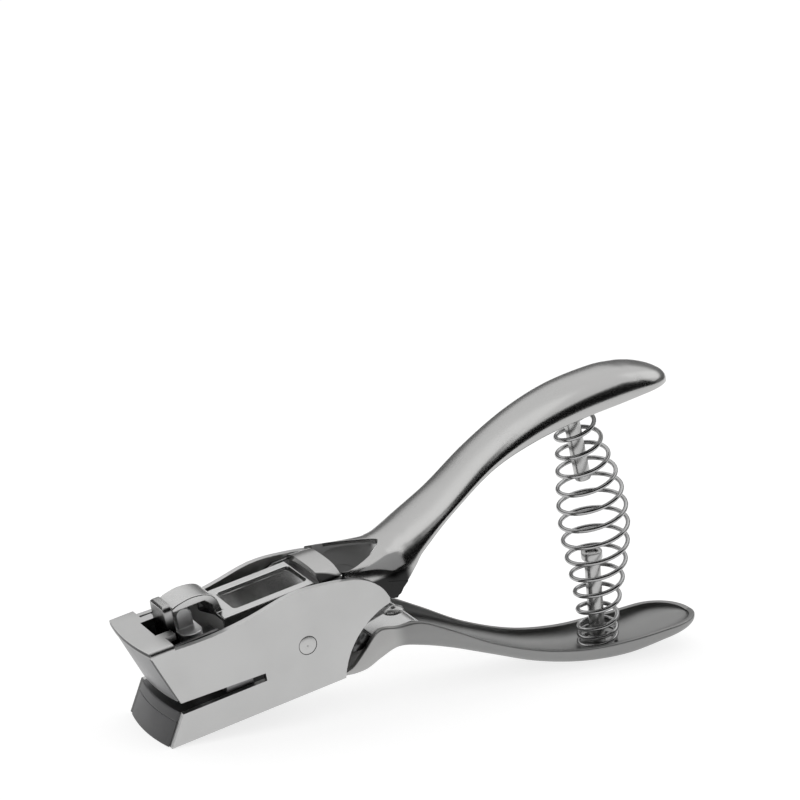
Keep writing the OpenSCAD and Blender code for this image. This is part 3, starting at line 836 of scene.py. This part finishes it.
@dataclass(frozen=True)
class Channel:
    """A stamped channel: half a super-ellipse across, drawn along smooth stations.

    Each station is x, crest, rim, half width and squareness n. The skin's point at angle f is
    (cos f, sin f) times (|cos f|^n + |sin f|^n)^(-1/n), stretched to the half width and to the
    height from rim to crest. The inner skin is the same, one wall smaller. Both end in a round
    tip, a quarter ellipse in plan. Where a tuck is given, the skin is widest that share of its
    height over the rim and turns in again below.
    """

    stations: Array
    tip: Array
    wall: float
    rows_along: Array
    cut_from: float = -1.0
    cut_shoulder: float = 0.0
    cut_to: float = 0.0
    cut_half: float = 0.0
    cut_arch: float = 1.0
    tuck: float = 0.0
    tuck_from: float = 0.0
    tuck_full: float = 1.0
    columns: int = 44
    rim_radius: float = 0.38
    least_wall: float = 0.8
    rail_play: float = 0.06

    def cut(self, x: Array) -> Array:
        """Half width of the opening in the crest at each x, 0 beyond it: constant as far as the
        shoulder, then a narrowing arch.

        Args:
            x: Places along the channel.

        Returns:
            The half width at each place.
        """
        run = np.clip((x - self.cut_shoulder) / max(self.cut_to - self.cut_shoulder, 1e-6), 0, 1)
        half = self.cut_half * (1 - run ** self.cut_arch) ** (1 / self.cut_arch)
        return np.where((x < self.cut_from) | (x >= self.cut_to), 0.0, half)

    def sections(self, x: Array) -> Array:
        """The rows x, crest, rim, half width and squareness at places along the channel."""
        dense = spline(self.stations, SPLINE_STEPS)
        return np.column_stack([x] + [np.interp(x, dense[:, 0], dense[:, k]) for k in range(1, 5)])

    def rows(self) -> tuple[Array, Array]:
        """The rows of the outer and of the inner skin, tip included.

        Returns:
            The rows of the outer skin and those of the inner one.
        """
        x = self.rows_along[self.rows_along < self.stations[-1, 0] - 1e-6]
        body = self.sections(x)
        thin = np.clip(body[:, 3] - self.cut(x) - self.rail_play, self.least_wall, self.wall)
        inner = body.copy()
        inner[:, 1] -= self.wall
        inner[:, 3] -= thin
        last, before = self.stations[-1], spline(self.stations, 3)[-2]
        slope = (last - before) / (last[0] - before[0])
        turn = np.linspace(0.0, math.pi / 2, 30)

        def tip(short: float) -> Array:
            """The rows round the end: a quarter turn that starts along the last slopes.

            Args:
                short: How far inside the outer tip it runs, in millimetres.

            Returns:
                Rows like those of the body.
            """
            whole = self.tip[0] - last[0]
            run = (whole - short) * np.sin(turn)
            bend = 1 - np.cos(turn)
            lift = [last[k] + slope[k] * run - (last[k] + slope[k] * whole - self.tip[k]) * bend
                    for k in (1, 2)]
            return np.column_stack([last[0] + run, lift[0] - short, lift[1],
                                    (last[3] - short) * np.cos(turn), last[4] + 0 * turn])

        return np.vstack([body, tip(0.0)]), np.vstack([inner, tip(self.wall)])

    def skin(self, rows: Array, cut: Array, trim: Array) -> Array:
        """Points of one skin, from its cut or crest down to the rounding of its rim.

        Args:
            rows: The skin's rows.
            cut: Half width of the opening at each row.
            trim: How far above the rim the skin ends.

        Returns:
            Points of shape rows x columns x 3, for the side of positive Y.
        """
        x, crest, rim, half, n = rows.T
        run = np.clip((x - self.tuck_from) / (self.tuck_full - self.tuck_from), 0.0, 1.0)
        belly = self.tuck * run * run * (3 - 2 * run) * (crest - rim)
        rise = crest - rim - belly
        q = np.clip(cut / np.maximum(half, 1e-6), 0.0, 0.9999)
        top = np.arctan2((1 - q ** n) ** (1 / n), q)
        w = np.clip((trim - belly) / np.maximum(rise, 1e-6), -0.6, 0.6)
        foot = np.arctan2(w, (1 - np.abs(w) ** n) ** (1 / n))
        f = top[:, None] + (foot - top)[:, None] * np.linspace(0, 1, self.columns)
        c, s, n = np.cos(f), np.sin(f), n[:, None]
        size = (np.abs(c) ** n + np.abs(s) ** n) ** (-1 / n)
        return np.stack([x[:, None] + 0 * f, half[:, None] * c * size,
                         (rim + belly)[:, None] + rise[:, None] * s * size], axis=-1)

    def build(self, piece: Piece, up: float) -> Piece:
        """Add the channel to a piece, with its rim and the edge of its opening rounded.

        Args:
            piece: The piece to add to.
            up: 1 for a channel that is open below, -1 for one that is open above.

        Returns:
            The piece.
        """
        outer, inner = self.rows()
        cut = self.cut(outer[:, 0])
        depth = np.maximum(inner[:, 1] - inner[:, 2], 0.2)
        radius = np.minimum(self.rim_radius, 0.4 * np.minimum(outer[:, 3] - inner[:, 3], depth))
        out, into = self.skin(outer, cut, radius), self.skin(inner, cut, radius)[:, ::-1]
        foot_out, foot_in = (self.skin(rows, cut, 0 * radius)[:, -1] for rows in (outer, inner))
        rim = np.concatenate([eased_corner(out[:, -1], foot_out, foot_in, radius),
                              eased_corner(foot_out, foot_in, into[:, 0], radius)], axis=1)
        first, last = out[:, :1], into[:, -1:]
        opening = cut > 0
        fade = 0.3 * np.clip((self.cut_to - outer[:, 0]) / 2.0, 0.0, 1.0) * opening
        edge = np.concatenate([eased_corner(into[:, -2], last[:, 0], first[:, 0], fade),
                               eased_corner(last[:, 0], first[:, 0], out[:, 1], fade)], axis=1)
        out[:, 0], into[:, -1] = edge[:, -1], edge[:, 0]
        loop = np.concatenate([out, rim, into], axis=1) * (1.0, 1.0, up)
        piece.add_grid(loop)
        if opening.any():
            rows = int(np.argmax(~opening)) + 1
            edge = edge * (1.0, 1.0, up)
            piece.add_grid(edge[:rows])
            piece.add(np.concatenate([loop[0], edge[0, 1:-1]]),
                      [list(range(loop.shape[1] + edge.shape[1] - 2))])
        else:
            piece.add(loop[0], [list(range(loop.shape[1]))])
        return piece.mirrored()


def even_rows(*marks: float, step: float = 0.8) -> Array:
    """Places along a channel: each mark, and even places between them, at most a step apart.

    Args:
        marks: The places that have to be there, from front to rear.
        step: The widest spacing.

    Returns:
        The places in rising order.
    """
    spans = [np.linspace(a, b, max(2, int(math.ceil((b - a) / step)) + 1))[:-1]
             for a, b in zip(marks[:-1], marks[1:])]
    return np.concatenate(spans + [np.array([marks[-1]])])


def flat_side(piece: Piece, outline: Outline, y0: float, y1: float) -> None:
    """Add a flat plate on each side of the tool.

    Args:
        piece: The piece to add to.
        outline: The plate's corners in X and Z.
        y0: Its inner face.
        y1: Its outer face.
    """
    xz = np.array(outline, float)
    n = len(xz)
    ring = np.arange(n)
    walls = np.column_stack([ring, (ring + 1) % n, (ring + 1) % n + n, ring + n])
    for side in (1.0, -1.0):
        both = [np.column_stack([xz[:, 0], np.full(n, side * y), xz[:, 1]]) for y in (y0, y1)]
        piece.add(np.vstack(both), walls.tolist() + [list(range(n)), list(range(n, 2 * n))])


@dataclass
class UpperHandle:
    """The fixed handle: a channel over the lever, its cheeks held by the pivot pin."""

    tool: Tool
    root_half: float = 10.45
    wall: float = 1.4
    bridge_from: float = 7.5
    bridge_square: float = 3.2
    cut_from: float = 12.5
    cut_shoulder: float = 14.0
    cut_to: float = 27.0
    cut_edge: float = 0.85
    cut_arch: float = 1.3
    cheek: tuple[float, float] = (9.2, 10.4)
    cheek_ease: float = 0.15

    def stations(self) -> Array:
        """The stations along the handle: x, crest, rim, half width, squareness.

        Returns:
            One station a row.
        """
        r = self.root_half
        return np.array([
            [7.5, 14.2, 8.6, r, 6], [13, 14.2, 6, r, 6], [17, 13.3, 5.4, r, 4.8],
            [21, 12.7, 5, r, 4], [25, 12.6, 2.4, r, 3.2], [27, 12.7, 3.9, 10.4, 2.9],
            [29, 13, 5.7, 10.2, 2.7], [31.5, 13.7, 8, 9.9, 2.6], [34, 14.5, 10.2, 9.5, 2.5],
            [44, 18.7, 15.7, 8.1, 2.4], [56, 25.5, 21.9, 7.8, 2.3], [68, 30.5, 25.2, 8.4, 2.3],
            [80, 33.1, 26.6, 9.1, 2.3], [92, 33.4, 26.8, 9.2, 2.3],
            [98, 32.5, 26.8, 8.9, 2.3]])

    def build(self, finish: Material) -> list[Object]:
        """Make the handle with its bridge, and its two cheeks.

        The body starts behind the bridge as two rails beside the cut-out. The bridge is a short
        length of the same channel with no cut-out, closed at both ends.

        Args:
            finish: The material that it wears.

        Returns:
            The handle and its cheeks.
        """
        along = np.concatenate([even_rows(self.cut_from, 25.5, step=0.7),
                                even_rows(25.8, self.cut_to, step=0.15),
                                even_rows(self.cut_to + 0.5, 98.0)])
        body = Channel(self.stations(), np.array([108.1, 26.9, 25.2]), self.wall, along,
                       self.cut_from, self.cut_shoulder, self.cut_to,
                       self.root_half - self.cut_edge, self.cut_arch,
                       tuck=0.3, tuck_from=28.0, tuck_full=42.0)
        piece = body.build(Piece("upper_handle_channel", self.tool), 1.0)
        self.bridge(piece)
        shell = piece.finish(Outfit(finish, Slot.NICKEL, Body.HEAD, ["upper_handle"]))
        cheeks = Piece("upper_handle_cheeks", self.tool)
        flat_side(cheeks, [(7.5, 12), (13, 12), (17, 9.5), (21, 7.5), (27, 5.6), (28.3, 5),
                           (26.1, 3.2), (24.8, 1.9), (22, 2.6), (19, 2.6), (14, -0.6),
                           (10.5, -3.5), (5, -6), (-4, -6), (-6, -3), (-6, 4), (-2, 9), (4, 12)],
                  *self.cheek)
        return [shell, cheeks.finish(Outfit(finish, Slot.NICKEL, Body.HEAD,
                                            edge=self.cheek_ease))]

    def bridge(self, piece: Piece) -> None:
        """Add the bridge: a closed length of the channel between the window and the cut-out.

        Args:
            piece: The handle that it belongs to.
        """
        x = even_rows(self.bridge_from, self.cut_from + 0.02)
        short = Channel(self.stations(), np.zeros(3), self.wall, x)
        rows = short.sections(x)
        rows[:, 4] = self.bridge_square
        inner = rows - np.array([0.0, self.wall, 0.0, self.wall, 0.0])
        none = np.zeros(len(x))
        loop = np.concatenate([short.skin(rows, none, none),
                               short.skin(inner, none, none)[:, ::-1]], axis=1)
        both = Piece("bridge", self.tool)
        both.add_grid(loop)
        ends = [list(range(loop.shape[1]))]
        both.add(loop[0], ends)
        both.add(loop[-1], ends)
        both.mirrored()
        piece.add(np.vstack(both.points), both.faces)


@dataclass
class LowerHandle:
    """The moving handle: a channel that opens upwards, riveted to the lever's tail."""

    tool: Tool
    half: float = 9.6
    wall: float = 1.4

    def stations(self) -> Array:
        """The stations along the handle: x, depth of its belly, depth of its rim, half width,
        squareness.

        Returns:
            One station a row.
        """
        h = self.half
        return np.array([
            [8.6, 12.9, 12, h - 0.2, 5], [11.5, 13.9, 10.6, h, 5], [15, 14.3, 7.8, h, 5],
            [19, 13.2, 4.7, h, 5], [24, 12.2, 5.8, h, 4.5], [30, 14.7, 7, h, 3.6],
            [38, 19, 12.6, 9.2, 2.8], [48, 25, 20.2, 8.4, 2.4], [60, 32, 27, 8.4, 2.2],
            [72, 36.7, 31.3, 9, 2.3], [84, 39.4, 33.5, 9.3, 2.3], [95, 39.7, 34.7, 9.1, 2.2]])

    def build(self, finish: Material) -> Object:
        """Make the handle.

        Args:
            finish: The material that it wears.

        Returns:
            The handle.
        """
        channel = Channel(self.stations(), np.array([106.1, 38.4, 36.8]), self.wall,
                          even_rows(8.6, 95.0))
        piece = channel.build(Piece("lower_handle_channel", self.tool), -1.0)
        return piece.finish(Outfit(finish, Slot.NICKEL, Body.LEVER, ["lower_handle"]))


# ---- round pieces


def turned(piece: Piece, profile: Outline, foot: Sequence[float],
           axis: Sequence[float]) -> None:
    """Add a turned solid: a profile of radius and height swept round an axis.

    Args:
        piece: The piece to add to.
        profile: Radius and height pairs that start and end on the axis.
        foot: Where height 0 is.
        axis: The direction in which height grows.
    """
    up = np.array(axis, float) / np.linalg.norm(axis)
    side = np.cross(up, (0.0, 1.0, 0.0) if abs(up[1]) < 0.9 else (1.0, 0.0, 0.0))
    side /= np.linalg.norm(side)
    round_ = np.linspace(0.0, 2 * math.pi, TURNED_SIDES + 1)
    spoke = np.cos(round_)[:, None] * side + np.sin(round_)[:, None] * np.cross(up, side)
    rz = np.array(profile, float)
    piece.add_grid(np.array(foot, float) + rz[:, None, :1] * spoke[None]
                   + rz[:, None, 1:] * up)


def eased_profile(corners: Outline, radius: float) -> list[tuple[float, float]]:
    """A profile whose inner corners are rounded, its first and last point kept.

    Args:
        corners: Radius and height pairs.
        radius: How far from a corner its rounding starts.

    Returns:
        Radius and height pairs.
    """
    p = np.array(corners, float)
    pad = np.column_stack([p, np.zeros(len(p))])
    turns = eased_corner(pad[:-2], pad[1:-1], pad[2:], np.full(len(p) - 2, radius))
    return [tuple(p[0])] + [tuple(q[:2]) for q in turns.reshape(-1, 3)] + [tuple(p[-1])]


@dataclass
class PivotPin:
    """The pivot pin, its ends flush in the plates."""

    tool: Tool
    radius: float = 2.3
    half: float = 11.95
    chamfer: float = 0.3

    def build(self, finish: Material) -> Object:
        """Make the pin: its ends are faced off, dimpled by the lathe and eased at the edge.

        Args:
            finish: The material that it wears.

        Returns:
            The pin.
        """
        r, h, c = self.radius, self.half, self.chamfer
        end = [(r - c, h - c), (r - 0.1, h - c + 0.2), (r - 0.02, h - 0.06), (r - 0.12, h),
               (0.3, h), (0.2, h - 0.03), (0.0, h - 0.1)]
        profile = [(q, -z) for q, z in reversed(end)] + [(r - c, -h + c)] + end
        pin = Piece("pivot_pin_turned", self.tool)
        turned(pin, profile, (0, 0, 0), (0, 1, 0))
        return pin.finish(Outfit(finish, Slot.NICKEL, Body.HEAD, ["pivot_pin"]))


@dataclass
class Studs:
    """The two studs that stand on the handles' floors inside the spring."""

    tool: Tool
    diameter: float = 3.9
    head: float = 5.2
    head_height: float = 2.0
    upper_foot: tuple[float, float, float] = (81.8, 0.0, 31.5342)
    lower_foot: tuple[float, float, float] = (79.2, 0.0, -36.8538)
    upper_lean: float = 2.0
    lower_lean: float = 5.5
    upper_length: float = 23.8
    lower_length: float = 25.6
    ease: float = 0.25

    def stud(self, name: str, foot: Sequence[float], lean: float, up: float,
             end: Outline) -> Piece:
        """Turn one stud.

        Args:
            name: Its name.
            foot: Where it stands or hangs.
            lean: How many degrees it leans towards +X.
            up: 1 where it stands, -1 where it hangs.
            end: The profile beyond its foot, radius and height.

        Returns:
            The piece.
        """
        piece, turn = Piece(name, self.tool), math.radians(lean)
        turned(piece, eased_profile([(0, 0), (self.diameter / 2, 0), *end], self.ease), foot,
               (math.sin(turn), 0, up * math.cos(turn)))
        return piece

    def build(self, finish: Material) -> list[Object]:
        """Make both studs: the upper one hangs and the lower one stands, each with a centre
        drilled into its end.

        Args:
            finish: The material that it wears.

        Returns:
            The upper and the lower stud.
        """
        r, h = self.diameter / 2, self.head / 2
        top, size = self.upper_length, self.lower_length
        neck = size - self.head_height
        upper = self.stud("upper_stud_turned", self.upper_foot, self.upper_lean, -1.0,
                          [(r, top), (1.1, top), (0.9, top - 0.6), (0, top - 0.9)])
        lower = self.stud("lower_stud_turned", self.lower_foot, self.lower_lean, 1.0,
                          [(r, neck), (h, neck), (h, size), (1.55, size), (1.2, size - 0.9),
                           (0, size - 1.3)])
        return [upper.finish(Outfit(finish, Slot.NICKEL, Body.HEAD, ["upper_stud"])),
                lower.finish(Outfit(finish, Slot.NICKEL, Body.LEVER, ["lower_stud"]))]


@dataclass
class TailRivet:
    """The rivet that joins the lever's tail to the lower handle, its head dimpled."""

    tool: Tool
    x: float = 27.4
    top: float = -6.3
    radius: float = 2.5

    def build(self, finish: Material) -> Object:
        """Make the rivet: a shallow domed head with a cone pressed into it.

        Args:
            finish: The material that it wears.

        Returns:
            The rivet.
        """
        r, t = self.radius, self.top
        profile = [(0, t - 7), (1.5, t - 7), (1.5, t), (r, t), (r - 0.05, t + 0.12),
                   (r - 0.5, t + 0.38), (r - 1.0, t + 0.58), (1.0, t + 0.72), (0.75, t + 0.74),
                   (0.6, t + 0.66), (0.45, t + 0.35), (0, t + 0.1)]
        rivet = Piece("tail_rivet_turned", self.tool)
        turned(rivet, profile, (self.x, 0, 0), (0, 0, 1))
        return rivet.finish(Outfit(finish, Slot.NICKEL, Body.LEVER, ["tail_rivet"]))


@dataclass
class HandleSpring:
    """The barrel spring between the handles: one wire, close turns at both ends.

    The wire's middle line turns round an axis that bows out between its seats, with a radius
    that swells to mid length, while the pitch is small in the close turns and large between.
    """

    tool: Tool
    wire: float = 1.1
    end_radius: float = 4.65
    mid_radius: float = 8.25
    seats: tuple[float, float] = (81.8, 79.2)
    close_turns: float = 2.5
    close_pitch: float = 1.95
    open_turns: int = 12
    bow: float = 3.2
    leans: tuple[float, float] = (-3.0, 7.0)
    barrel: float = 1.1
    low: float = -35.6402
    high: float = 29.7111
    steps: int = 36
    sides: int = 14
    map_scale: float = 0.1

    def middle_line(self) -> tuple[Array, Array]:
        """The wire's middle line and the axis point beside each of its points, in rows.

        Returns:
            The points of the line, and the axis points beside them.
        """
        turns = self.open_turns + 2 * self.close_turns
        t = np.linspace(0.0, turns, int(turns * self.steps) + 1)
        low, rise = self.low, self.high - self.low
        pitch = (rise - 2 * self.close_turns * self.close_pitch) / self.open_turns
        z = (low + self.close_pitch * np.minimum(t, self.close_turns)
             + pitch * np.clip(t - self.close_turns, 0, self.open_turns)
             + self.close_pitch * np.maximum(t - self.close_turns - self.open_turns, 0))
        share = (z - low) / rise
        swell = np.cos(np.pi / 2 * np.minimum(1, np.abs(2 * share - 1) * self.barrel)) ** 2
        radius = self.end_radius + (self.mid_radius - self.end_radius) * swell
        axis = (self.seats[1] + (self.seats[0] - self.seats[1]) * share
                + self.bow * np.sin(np.pi * share))
        lean = np.radians((self.leans[0] + (self.leans[1] - self.leans[0]) * share)
                          * np.minimum(1, 4 * np.sin(np.pi * share)))
        turn = 2 * np.pi * t
        line = np.column_stack([axis + radius * np.cos(turn) * np.cos(lean),
                                radius * np.sin(turn),
                                z + radius * np.cos(turn) * np.sin(lean)])
        return line, np.column_stack([axis, 0 * axis, z])

    def build(self, finish: Material) -> Object:
        """Make the spring, bent between the two handles.

        Args:
            finish: The material that it wears.

        Returns:
            The spring.
        """
        line, axis = self.middle_line()
        bend = 0.85 * self.wire
        a = np.radians(np.linspace(10, 90, 9))
        quarter = np.column_stack([0 * a, bend * np.sin(a), bend * (1 - np.cos(a))])
        straight = np.array([[0.0, bend, bend + self.wire * k] for k in (0.35, 0.7, 1.0)])
        tail = np.vstack([quarter, straight])
        path = np.vstack([line[0] - tail[::-1], line, line[-1] + tail])
        beside = np.pad(axis, ((len(tail), len(tail)), (0, 0)), "edge")
        along = np.gradient(path, axis=0)
        along /= np.linalg.norm(along, axis=1, keepdims=True)
        away = (path - beside) * (1.0, 1.0, 0.0)
        away -= along * np.sum(away * along, axis=1, keepdims=True)
        away /= np.linalg.norm(away, axis=1, keepdims=True)
        up = np.cross(along, away)
        g = np.linspace(0.0, 2 * np.pi, self.sides + 1)[None, :, None]
        ring = away[:, None] * np.cos(g) + up[:, None] * np.sin(g)
        skin = path[:, None] + self.wire / 2 * ring
        skin = np.concatenate([np.repeat(path[:1, None], self.sides + 1, 1), skin,
                               np.repeat(path[-1:, None], self.sides + 1, 1)])
        run = np.concatenate([[0.0], np.cumsum(np.linalg.norm(np.diff(path, axis=0), axis=1))])
        run = np.pad(run, 1, "edge") * self.map_scale
        faces = grid_faces(*skin.shape[:2])
        uv = np.stack([np.repeat(run, self.sides + 1),
                       np.tile(np.linspace(0, 1, self.sides + 1), len(run))], axis=-1)
        spring = Piece("wound_spring", self.tool)
        spring.add(skin, faces, uv[faces].reshape(-1, 2))
        wound = spring.finish(Outfit(finish, Slot.WIRE, None, ["handle_spring"]))
        top, foot = self.tool.place(path[-1]), self.tool.place(path[0])
        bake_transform(wound)
        return wound


# ---- the studio


@dataclass
class Studio:
    """A pale floor, a white room, dark screens, soft lamps and the camera of the photograph.

    `scale` is the picture's pixels per millimetre at the near plate, `centre` the pixel of the
    pin's near end, and `ground` the angle at which the view was worked out.
    """

    tool: Tool
    azimuth: float = -27.75
    elevation: float = 17.76
    reach: float = 0.7
    scale: float = 4.397
    centre: tuple[float, float] = (308.0, 645.4)
    ground: float = 11.2
    picture: float = 800.0
    sensor: float = 36.0
    dome: float = 0.9

    def camera(self) -> None:
        """Stand the camera where the photograph was taken from: the view was worked out with the
        tool turned by `ground`, so it is turned on by the rest of the tilt and moved along."""
        a, e = math.radians(self.azimuth), math.radians(self.elevation)
        back = np.array([math.sin(a) * math.cos(e), -math.cos(a) * math.cos(e), math.sin(e)])
        right = np.array([math.cos(a), math.sin(a), 0.0])
        up = np.cross(back, right)
        off_x, off_y = ((c - self.picture / 2) / self.scale / MM_PER_M for c in self.centre)
        place = np.array([0.0, -0.012, 0.0]) + self.reach * back - off_x * right + off_y * up
        turn = turn_y(math.radians(self.ground) - self.tool.tilt)
        matrix = np.eye(4)
        matrix[:3, :3] = turn @ np.column_stack([right, up, back])
        matrix[:3, 3] = turn @ place + np.array(self.tool.pivot)
        data = bpy.data.cameras.new("photo_camera")
        data.sensor_width = self.sensor
        data.lens = self.scale * self.reach * MM_PER_M * self.sensor / self.picture
        data.clip_end = 50.0
        camera = put("photo_camera", data)
        camera.matrix_world = Matrix(matrix.tolist())
        bpy.context.scene.camera = camera

    def room(self) -> None:
        """A white room, and its floor, which keeps the tool's shadow."""
        world = bpy.data.worlds.new("white_room")
        bpy.context.scene.world = world
        world.use_nodes = True
        sky = Nodes(world.node_tree)
        light = sky.tree.nodes["Background"].inputs
        sky.feed(light["Color"], grey(1.0))
        sky.feed(light["Strength"], sky.seen_directly().ramp(0.0, 1.0, 0.7, 1.0))
        floor = Shader("pale_floor")
        floor.surface(Base_Color=grey(0.42), Roughness=0.9, Specular_IOR_Level=0.0,
                      Emission_Color=grey(1.0),
                      Emission_Strength=floor.seen_directly().ramp(0.0, 1.0, 0.0, 0.74))
        self.set_up("floor", [(-3, -3, 0), (3, -3, 0), (3, 3, 0), (-3, 3, 0)], [(0, 1, 2, 3)],
                    floor)

    def set_up(self, name: str, points: Sequence, faces: Sequence, wears: Shader,
               glossy_only: bool = False) -> None:
        """Put a mesh of the stage into the scene.

        Args:
            name: Its name.
            points: Its points in metres.
            faces: The corners of its faces.
            wears: Its material.
            glossy_only: True where only reflections show it.
        """
        mesh = bpy.data.meshes.new(name)
        mesh.from_pydata(points, [], faces)
        mesh.materials.append(wears.material)
        made = put(name, mesh)
        if glossy_only:
            made.visible_camera = made.visible_diffuse = made.visible_shadow = False
            made.visible_transmission = False

    def screen(self, name: str, first: float, last: float, rise: float, tone: float) -> None:
        """Hang a curved screen that only the metal's reflections show, as in a real studio.

        It is a part of a sphere round the tool: (cos e cos t, cos e sin t, sin e) times dome.

        Args:
            name: Its name.
            first: The t that it starts at, in degrees about Z from +X.
            last: The t that it ends at.
            rise: The e that it rises to, in degrees.
            tone: Its grey.
        """
        t, e = np.radians(np.meshgrid(np.linspace(first, last, 49), np.linspace(0.2, rise, 17)))
        points = self.dome * np.stack([np.cos(e) * np.cos(t), np.cos(e) * np.sin(t), np.sin(e)],
                                      axis=-1)
        cloth = Shader(name)
        cloth.surface(Base_Color=grey(tone), Roughness=1.0, Specular_IOR_Level=0.0)
        self.set_up(name, points.reshape(-1, 3).tolist(), grid_faces(*e.shape).tolist(), cloth,
                    glossy_only=True)

    def lamp(self, name: str, place: Sequence[float], size: float, power: float) -> None:
        """Hang a square softbox that faces the tool.

        Args:
            name: Its name.
            place: Where it hangs, in metres.
            size: The length of its side, in metres.
            power: Its power in watts.
        """
        data = bpy.data.lights.new(name, "AREA")
        data.size = size
        data.energy = power
        lamp = put(name, data)
        lamp.location = place
        way = Vector((0, 0, 0.03)) - Vector(place)
        lamp.rotation_euler = way.to_track_quat("-Z", "Y").to_euler()

    def build(self) -> None:
        """Set up the whole studio."""
        self.camera()
        self.room()
        self.screen("front_screen", first=152.0, last=335.0, rise=68.0, tone=0.02)
        self.screen("back_screen", first=-25.0, last=110.0, rise=25.0, tone=0.35)
        self.screen("left_screen", first=110.0, last=152.0, rise=18.0, tone=0.02)
        self.lamp("key_softbox", (-0.35, 0.3, 0.8), size=0.8, power=0.6)
        self.lamp("fill_softbox", (0.6, 0.2, 0.6), size=0.5, power=0.25)
        bpy.context.scene.view_settings.view_transform = "Standard"


# ---- putting it together


def main() -> None:
    """Load the frame, build and dress every sub-assembly, and set up the studio."""
    logging.basicConfig(level=logging.INFO, format="%(name)s: %(message)s")
    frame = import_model()
    tool = Tool.from_record(frame["record"])
    nodes = frame["nodes"]
    skins = {f.name: f.make(tool) for f in (PLATE, LEVER, UPPER, LOWER, HOOK, GROUND, SHEARED,
                                             PUNCH, PIN, TURNED, WIRE)}
    for node in nodes.values():
        node.data.materials.clear()
        node.data.materials.append(skins[TURNED.name])
    for part in EASED_PARTS:
        part.build(nodes, skins)
    for kind, finish in ((PivotPin, PIN), (UpperHandle, UPPER), (LowerHandle, LOWER),
                         (Studs, TURNED), (TailRivet, TURNED), (HandleSpring, WIRE)):
        kind(tool).build(skins[finish.name])
    Studio(tool).build()


if __name__ == "__main__":
    main()
